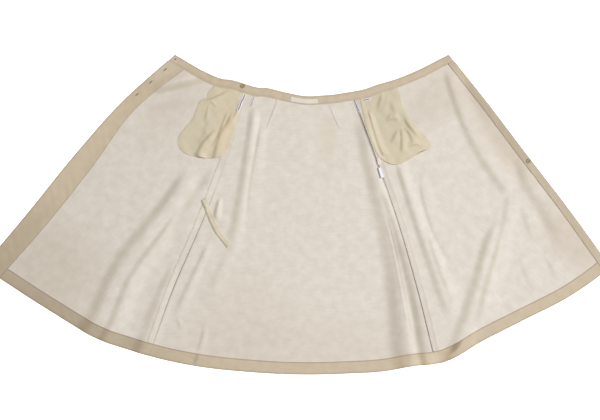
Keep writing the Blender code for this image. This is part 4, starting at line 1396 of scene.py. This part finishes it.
@dataclass
class LaidStrip:
    """A ribbon, strap or label that lies on the pile along a path.

    Args:
        name: the piece's name, which is its solid's where it stands for one.
        path: flat places down its middle.
        widths: at its start and at its end.
        finish: its cloth.
        wall: its thickness.
        reach: how far round each point it bridges the pile.
        curl: how far its +side edge rolls up at the middle, or its -side edge below 0.
        sway: how much it ripples along its length.
        steps: points along it.
        dark_edges: how much painted shade darkens its -side and +side edges.
        stands_in: whether it stands for a solid.
        columns: points across it.
        worn: rounds of softening of what it lies on.
        edge_wall: share of its thickness left at its edges.
        curl_width: how soon the curl sets in, across it.
    """

    name: str
    path: tuple[tuple[float, float], ...]
    widths: tuple[float, float]
    finish: ClothFinish
    wall: float = 0.7
    reach: float = 5.0
    curl: float = 0.0
    sway: float = 0.15
    steps: int = 40
    dark_edges: tuple[float, float] = (0.0, 0.0)
    stands_in: bool = True
    columns: int = 7
    worn: int = 3
    edge_wall: float = 0.55
    curl_width: float = 1.2

    def build(self, pile: Pile) -> bpy.types.Object:
        """Make the strip on the pile."""
        share = np.linspace(0, 1, self.steps)
        line = smooth(np.linspace(0, 1, len(self.path)), np.array(self.path, float), share)
        run = np.gradient(line, axis=0)
        run /= np.linalg.norm(run, axis=1, keepdims=True)
        side = np.stack((-run[:, 1], run[:, 0]), axis=1)
        across = np.linspace(-0.5, 0.5, self.columns)
        out = across[:, None] * np.interp(share, (0, 1), self.widths)[None]
        flat = line[None] + out[..., None] * side[None]
        base = softened(pile.under(flat, self.reach), self.worn) + GAP
        raised = ramp((0.5 + across * np.sign(self.curl or 1)) * self.curl_width)
        rolled = raised[:, None] * np.sin(math.pi * share)[None]
        ripple = Rumple(self.sway, longest=40.0, shortest=12.0, waves=8, seed=21).height(flat)
        base = base + abs(self.curl) * rolled + np.maximum(ripple, -GAP)
        length = np.linalg.norm(np.gradient(line, axis=0), axis=1).cumsum()
        weave = np.stack(np.broadcast_arrays(length[None], out), -1)
        wall = np.full((self.columns, 1), self.wall)
        wall[[0, -1]] *= self.edge_wall
        top = base + wall
        # painted shade along the two edges
        crease = np.zeros(flat.shape[:2])
        crease[:2], crease[-2:] = self.dark_edges
        name, node = ("shown_" + self.name, self.name) if self.stands_in else (self.name, "")
        shell = Shell(name, laid_over(flat, top), laid_over(flat, base), self.finish,
                      self.finish, 90.0, crease, weave)
        return pile.add(finish_piece(shell.build(), node))


@dataclass(frozen=True)
class Loop:
    """A narrow ribbon sewn in at the root and turned back on itself at the tip."""

    name: str
    root_x: float
    root_y: float
    tip_x: float
    tip_y: float
    width: float
    spread: float
    wave: float
    half_apart: float = 0.8     # of its two runs, as a share of the spread
    calmer: float = 0.6         # share of the wave left on the way back

    def path(self) -> tuple[tuple[float, float], ...]:
        """Return the way down to the tip, round it and back up."""
        root, tip = np.array((self.root_x, self.root_y)), np.array((self.tip_x, self.tip_y))
        run = (tip - root) / np.linalg.norm(tip - root)
        side = np.array((-run[1], run[0]))
        reach = tip - run * self.spread - root
        bends = ((0.0, 0.0), (0.25, 1.0), (0.5, -1.0), (0.75, 1.0), (1.0, 0.0))
        apart = self.spread * self.half_apart
        down = [root + reach * share + side * (self.wave * bend - apart)
                for share, bend in bends]
        back = [root + reach * share + side * (self.wave * bend * self.calmer + apart)
                for share, bend in reversed(bends)]
        return tuple(tuple(point) for point in (*down, tip, *back))


LOOPS = (
    Loop("hanger_loop_overlap_long", -155, 358, -175, 311, 4.6, 3.2, 1.0),
    Loop("hanger_loop_overlap_short", -127, 353, -137, 323, 2.6, 2.6, 0.8),
    Loop("hanger_loop_underlap_long", 175, 337, 190, 307, 3.4, 2.4, 0.5),
    Loop("hanger_loop_underlap_short", 203, 342, 221, 346, 3.8, 2.6, 0.2),
)


DARTS = (
    LaidStrip("dart_overlap_side", ((-53, 343), (-67, 305), (-87, 264)), (12, 2), INNER),
    LaidStrip("dart_underlap_side", ((103, 328), (116, 293), (130, 256)), (12, 2), INNER),
)
STRAP_PATH = ((-273, 41), (-266, 17), (-253, -17), (-235, -53), (-212, -83), (-202, -96))
STRAPS = (
    LaidStrip("stay_strap", STRAP_PATH, (14, 13), STRAP, 1.2, curl=-1.2, reach=7.0,
              dark_edges=(0.14, 0.05)),
    LaidStrip("stay_strap_end", ((-278, 46), (-265, 20)), (17, 15), STRAP_END, 1.0,
              dark_edges=(0.3, 0.15), stands_in=False),
)
CARE_LABELS = (
    LaidStrip("care_label_upper", ((244.7, 171), (247, 160), (249.3, 149)), (12, 12),
              PINK_RIBBON, dark_edges=(0.5, 0.0)),
    LaidStrip("care_label_lower", ((249.6, 140), (254, 125), (258.4, 110)), (16, 16),
              RIBBON, dark_edges=(0.8, 0.2)),
)
LABEL_XS = (-15, 11, 37, 63)


def make_strips(cloth: Cloth, pile: Pile) -> None:
    """Make the darts, the ribbons, the strap and the labels, from the lowest up."""
    down = LABEL_DOWN / SKIRT_LENGTH
    label = [tuple(cloth.place(np.interp(x, cloth.waist[:, 0], cloth.along_hem), down))
             for x in LABEL_XS]
    back_label = LaidStrip("back_label", tuple(label), (13.5, 13.5), LABEL, reach=1.0, sway=0.05)
    # each loop's inner edge gets painted shadow for the gap between its two runs
    loops = [LaidStrip(row.name, row.path(), (row.width, row.width), RIBBON, 0.5, 3.0,
                       steps=60, dark_edges=(0.0, 0.9)) for row in LOOPS]
    for strip in (*DARTS, *loops, *STRAPS, back_label, *CARE_LABELS):
        strip.build(pile)


@dataclass
class Button:
    """A four-hole button with a raised rim, sewn on with crossed threads."""

    node: str
    x: float
    y: float
    radius: float = 6.5
    rim: float = 1.1
    height: float = 2.6
    dish: float = 0.7
    hole_radius: float = 0.75
    hole_offset: float = 1.7
    bridge: float = 4.0         # how far round its middle it bridges the pile
    thread_lift: float = 0.15   # of its threads over the dish
    thread_reach: float = 0.75  # share of the holes' offset that they cross
    steps: int = 48
    sharp: float = 35.0

    def profile(self) -> tuple[tuple[float, float], ...]:
        """Return the radius and height of each corner, from the dish round to the back."""
        r, top, low = self.radius, self.height, self.height - self.dish
        return (
            (0.0, low), (r - 2.4 * self.rim, low), (r - 1.4 * self.rim, low + 0.25),
            (r - self.rim, top - 0.1), (r - 0.75 * self.rim, top), (r - 0.4, top - 0.1),
            (r - 0.1, top - 0.4), (r, top - 0.9), (r - 0.1, 0.7), (r - 0.9, 0.1), (0.0, 0.0))

    def build(self, pile: Pile) -> None:
        """Make the button, its holes and its threads."""
        around = (-self.bridge, 0, self.bridge)
        floor = max(pile.top(self.x + dx, self.y + dy) for dx in around for dy in around) + GAP
        name = "shown_" + self.node
        mesh = bpy.data.meshes.new(name)
        corners = [(radius * MM, 0.0, height * MM) for radius, height in self.profile()]
        mesh.from_pydata(corners, [(i, i + 1) for i in range(len(corners) - 1)], [])
        button = added(name, mesh)
        turned = button.modifiers.new("turned", "SCREW")
        turned.steps = turned.render_steps = self.steps
        turned.use_merge_vertices = True
        turned.merge_threshold = 0.00001
        cutter = self.make_cutter(name + "_pins")
        holes = button.modifiers.new("holes", "BOOLEAN")
        holes.operation, holes.solver, holes.object = "DIFFERENCE", "EXACT", cutter
        make_plain(button)
        bpy.data.objects.remove(cutter)
        button.data.transform(Matrix.Translation(Vector((self.x, self.y, floor)) * MM))
        button.data.materials.clear()
        button.data.materials.append(BUTTON.material())
        make_smooth(button.data, self.sharp)
        finish_piece(button, self.node)
        level = floor + (self.height - self.dish) + self.thread_lift
        reach = self.hole_offset * self.thread_reach
        lines = [np.array([(self.x - reach, self.y - turn * reach, level),
                           (self.x + reach, self.y + turn * reach, level)])
                 for turn in (1, -1)]
        Stitching(name + "_thread", lines, StitchKind.CROSS, OLIVE_THREAD).build()

    def make_cutter(self, name: str) -> bpy.types.Object:
        """Make the four pins that cut the holes."""
        bm = bmesh.new()
        for step in range(4):
            turn = Matrix.Rotation(math.radians(45 + 90 * step), 4, "Z")
            offset = Matrix.Translation((self.hole_offset * MM, 0, self.height / 2 * MM))
            bmesh.ops.create_cone(
                bm, cap_ends=True, segments=12, radius1=self.hole_radius * MM,
                radius2=self.hole_radius * MM, depth=2 * self.height * MM,
                matrix=turn @ offset)
        mesh = bpy.data.meshes.new(name)
        bm.to_mesh(mesh)
        bm.free()
        return added(name, mesh)


BUTTONS = (Button("waist_button", -160.0, 385.0), Button("edge_button", 697.0, 160.0))


@dataclass
class Buttonholes:
    """Three buttonholes down the overlap edge, each a slit edged with stitches, with a sunk sheet
    in it painted dark as its shade.
    """

    cloth: Cloth
    pile: Pile
    first: float = 56.0
    step: float = 55.0
    count: int = 3
    inset: float = 15.0
    length: float = 13.0
    slit: float = 1.1
    lip: float = 0.08           # of the slit that lies under its stitches
    sunk: float = 0.25
    stitch_lift: float = 0.15
    wall: tuple[float, float] = (0.3, 0.05)     # over and under the cloth's surface
    nudge: float = 0.99         # up toward the waist

    def build(self) -> None:
        """Make the slits and their stitches."""
        spots = [self.spot(number) for number in range(self.count)]
        outlines = [self.outline(*spot) for spot in spots]
        Stitching("buttonhole_stitches", outlines, StitchKind.BUTTONHOLE, THREAD).build()
        for number, spot in enumerate(spots):
            self.make_slit(f"buttonhole_slit_{number + 1}", *spot)

    def spot(self, number: int) -> tuple[np.ndarray, np.ndarray, np.ndarray, float]:
        """Return a buttonhole's middle, its run, the way inward and the cloth's height."""
        down = (self.first + number * self.step) / SKIRT_LENGTH
        edge = self.cloth.place(0.0, down * self.nudge)
        run = self.cloth.place(0.0, down + 0.01) - edge
        run /= np.linalg.norm(run)
        inward = self.cloth.place(1.0, down * self.nudge) - edge
        inward /= np.linalg.norm(inward)
        middle = edge + inward * self.inset
        return middle, run, inward, self.pile.top(*middle) + THREAD_LIFT

    def outline(self, middle: np.ndarray, run: np.ndarray, inward: np.ndarray,
                level: float) -> np.ndarray:
        """Return the line that the stitches follow round a slit."""
        turns = np.linspace(0, math.tau, 41)
        ring = middle + np.stack((np.cos(turns) * self.length / 2,
                                  np.sin(turns) * self.slit), 1) @ np.stack((run, inward))
        return laid_over(ring, np.full(len(ring), level + self.stitch_lift))

    def make_slit(self, name: str, middle: np.ndarray, run: np.ndarray, inward: np.ndarray,
                  level: float) -> None:
        """Make the sunk sheet in the slit, painted dark as its shade."""
        along, across = np.linspace(-1, 1, 17), np.linspace(-1, 1, 5)
        half = self.slit / 2 * np.sqrt(1 - along ** 2) + self.lip
        flat = (middle + along[:, None, None] * self.length / 2 * run
                + (across[None, :] * half[:, None])[..., None] * inward)
        sunk = self.sunk * (1 - across ** 2)[None, :] * (1 - along ** 2)[:, None]
        top = laid_over(flat, level + self.wall[0] - sunk)
        bottom = laid_over(flat, np.full(sunk.shape, level - self.wall[1]))
        finish_piece(Shell(name, top, bottom, SHADE, SHADE).build())


DART_SEAMS = (((-59, 343), (-73, 305), (-88, 264)), ((109, 328), (120, 293), (131, 256)))
CORNER_TACKS = (((-365, 466), (-360, 464)), ((458, 452), (456, 448)))


@dataclass
class EdgeStitching:
    """The overlocking of the allowances, the tacks and the rows that hold the edges."""

    cloth: Cloth
    pile: Pile
    steps: int = 160
    dart_steps: int = 30
    hem_spacing: float = 8.0
    overlock_inset: float = 2.2
    overlock_lift: float = 0.12
    overlock_start: float = 0.25    # share down, on the overlap side
    facing_inset: float = 2.4
    end_gap: float = 0.004      # share of the length left at a row's ends

    def over(self, flat: np.ndarray, lift: float = THREAD_LIFT) -> np.ndarray:
        """Return a line of points just over the pile."""
        return laid_over(flat, np.array([self.pile.top(*spot) + lift for spot in flat]))

    def upright(self, section: str, inset: float, start: float, end: float,
                lift: float = THREAD_LIFT) -> np.ndarray:
        """Return a line down beside a section, from one share of the length to another."""
        down = np.linspace(start, end, self.steps)
        along = np.full(down.shape, self.cloth.along(section) + inset)
        return self.over(self.cloth.place(along, down), lift)

    def build(self) -> None:
        """Sew every row."""
        low, seam = HEM_TURN - self.end_gap / 2, WAIST_SEAM + self.end_gap / 2
        inset, high = self.overlock_inset, self.overlock_start
        rows = [self.upright(section, side * inset, start, low, self.overlock_lift)
                for section, side, start in (
                    ("overlap_allowance", 1, high), ("overlap_seam", -1, high),
                    ("underlap_allowance", -1, seam), ("underlap_seam", 1, seam))]
        Stitching("overlock_stitches", rows, StitchKind.OVERLOCK, PALE_THREAD).build()
        share = np.linspace(0, 1, self.dart_steps)
        rows = [self.over(smooth((0, 0.5, 1), np.array(dart), share)) for dart in DART_SEAMS]
        Stitching("dart_stitches", rows, StitchKind.RUNNING, DARK_THREAD).build()
        rows = []
        for first, last in (("overlap_facing", "overlap_seam"), ("overlap_seam", "underlap_seam"),
                            ("underlap_seam", "underlap_facing")):
            along = self.cloth.columns(first, last, self.hem_spacing)[1:-1]
            rows.append(self.over(self.cloth.place(along, HEM_TURN + self.end_gap)))
        Stitching("hem_stitches", rows, StitchKind.BLIND, THREAD).build()
        rows = [self.upright(section, inset, WAIST_SEAM + self.end_gap, 1 - self.end_gap)
                for section, inset in (("overlap_facing", -self.facing_inset),
                                       ("underlap_facing", self.facing_inset))]
        Stitching("facing_stitches", rows, StitchKind.RUNNING, THREAD).build()
        rows = [self.over(np.array(tack)) for tack in CORNER_TACKS]
        Stitching("corner_tacks", rows, StitchKind.TACK, DARK_THREAD).build()


@dataclass(frozen=True)
class Cut:
    """The flat size of a piece of cloth, in millimetres, and its area in square metres."""

    piece: str
    width: float
    length: float
    area: float | None
    rests_on: tuple[str, ...] = ()
    on_it: tuple[str, ...] = ()

    def declare(self) -> None:
        """Do nothing; the cut size and what the piece lies on stay in this table only."""


FRONT, BACK, UNDER = "shown_overlap_front_panel", "shown_back_panel", "shown_underlap_front_panel"
CUTS = (
    Cut(FRONT, 640, 860, 0.349),
    Cut(BACK, 870, 860, 0.476),
    Cut(UNDER, 620, 860, 0.340),
    Cut("shown_waistband", 905, 27, None, (), (
        "waistband_stitches", "shown_hanger_loop_overlap_long", "shown_hanger_loop_overlap_short",
        "shown_hanger_loop_underlap_long", "shown_hanger_loop_underlap_short")),
    Cut("shown_overlap_facing", 60, 838, None, (FRONT,), (
        "buttonhole_stitches", "buttonhole_slit_1", "buttonhole_slit_2", "buttonhole_slit_3",
        "facing_stitches")),
    Cut("shown_underlap_facing", 23, 830, None, (UNDER,), ("corner_tacks",)),
    Cut("shown_hem_overlap", 505, 36, None, (FRONT,)),
    Cut("shown_hem_back", 866, 36, None, (BACK,), ("hem_stitches",)),
    Cut("shown_hem_underlap", 570, 36, None, (UNDER,)),
    Cut("shown_seam_allowance_overlap_side", 18, 598, None, (FRONT,)),
    Cut("shown_seam_allowance_underlap_side", 18, 771, None, (UNDER,), ("overlock_stitches",)),
    Cut("shown_pocket_bag_overlap_side", 210, 220, 0.027, (FRONT,)),
    Cut("shown_pocket_bag_underlap_side", 215, 215, 0.027, (UNDER,)),
    Cut("shown_dart_overlap_side", 12, 90, 0.00063, (BACK,), ("dart_stitches",)),
    Cut("shown_dart_underlap_side", 12, 80, 0.00056, (BACK,)),
    Cut("shown_stay_strap", 14, 156, None, (BACK,)),
    Cut("stay_strap_end", 16, 29, None, ("shown_stay_strap",)),
    Cut("shown_back_label", 13.5, 78, None, ("shown_waistband",)),
    Cut("shown_care_label_upper", 12, 23, None, (UNDER,)),
    Cut("shown_care_label_lower", 16, 31, None, (UNDER,)),
)


def main() -> None:
    """Build the skirt from the panels up, then the room, the light and the camera."""
    logging.basicConfig(level=logging.INFO, format="%(message)s")
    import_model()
    cloth, pile = Cloth(), Pile()
    Panels(cloth, pile).build()
    Waistband(cloth, pile).build()
    for strip in TURNED_STRIPS:
        strip.build(cloth, pile)
    PocketBag("pocket_bag_overlap_side", cloth, pile,
              OVERLAP_BAG, 0.6, OVERLAP_BAG_FOLDS, OVERLAP_BAG_LIFTS).build()
    PocketBag("pocket_bag_underlap_side", cloth, pile,
              UNDERLAP_BAG, 0.38, UNDERLAP_BAG_FOLDS, UNDERLAP_BAG_LIFTS).build()
    make_strips(cloth, pile)
    Buttonholes(cloth, pile).build()
    for button in BUTTONS:
        button.build(pile)
    EdgeStitching(cloth, pile).build()
    for cut in CUTS:
        cut.declare()
    Studio().build()


@dataclass(frozen=True)
class Lamp:
    """A soft box: its place, its size and its power, in metres and watts."""

    name: str
    x: float
    y: float
    z: float
    size: float
    power: float
    colour: Colour


@dataclass
class Studio:
    """The floor, the light and the camera straight above, in metres."""

    lamps: tuple[Lamp, ...] = (
        Lamp("key_light", 6.8, 1.7, 6.9, 3.0, 710.0, (0.97, 1.0, 1.03)),
        Lamp("top_light", 0.1, -0.25, 2.2, 1.6, 15.0, (1.0, 0.98, 0.94)),
    )
    ambient: Colour = (1.0, 0.93, 0.82)
    ambient_strength: float = 0.2
    floor_half: float = 6.0
    floor_colour: Colour = (0.9, 0.9, 0.9)
    floor_glow: float = 0.85
    camera_height: float = 4.25
    aim: tuple[float, float] = (0.01125, 0.0129)
    lens: float = 85.0
    sensor: float = 36.0

    def build(self) -> None:
        """Place everything that isn't the skirt."""
        self.make_floor()
        for lamp in self.lamps:
            self.make_lamp(lamp)
        world = bpy.data.worlds.new("room")
        world.use_nodes = True
        back = world.node_tree.nodes["Background"]
        back.inputs["Color"].default_value = (*self.ambient, 1.0)
        back.inputs["Strength"].default_value = self.ambient_strength
        bpy.context.scene.world = world
        bpy.context.scene.view_settings.view_transform = "Standard"
        self.make_camera()

    def make_floor(self) -> None:
        """Make the plain pale floor that the skirt lies on."""
        mesh = bpy.data.meshes.new("floor")
        half = self.floor_half
        corners = [(-half, -half, 0), (half, -half, 0), (half, half, 0), (-half, half, 0)]
        mesh.from_pydata(corners, [], [(0, 1, 2, 3)])
        material = bpy.data.materials.new("floor")
        material.use_nodes = True
        shader = material.node_tree.nodes["Principled BSDF"]
        shader.inputs["Base Color"].default_value = (*self.floor_colour, 1)
        shader.inputs["Roughness"].default_value = 0.9
        shader.inputs["Emission Color"].default_value = (1, 1, 1, 1)
        shader.inputs["Emission Strength"].default_value = self.floor_glow
        mesh.materials.append(material)
        added("floor", mesh)

    def make_lamp(self, lamp: Lamp) -> None:
        """Make a soft box that faces the skirt's middle."""
        light = bpy.data.lights.new(lamp.name, "AREA")
        light.shape = "SQUARE"
        light.size = lamp.size
        light.energy = lamp.power
        light.color = lamp.colour
        thing = added(lamp.name, light)
        thing.location = (lamp.x, lamp.y, lamp.z)
        thing.rotation_mode = "QUATERNION"
        thing.rotation_quaternion = (-thing.location).to_track_quat("-Z", "Y")

    def make_camera(self) -> None:
        """Make the camera that looks straight down, with the waist up."""
        lens = bpy.data.cameras.new("camera")
        lens.lens = self.lens
        lens.sensor_width = self.sensor
        camera = added("camera", lens)
        camera.location = (*self.aim, self.camera_height)
        bpy.context.scene.camera = camera


if __name__ == "__main__":
    main()
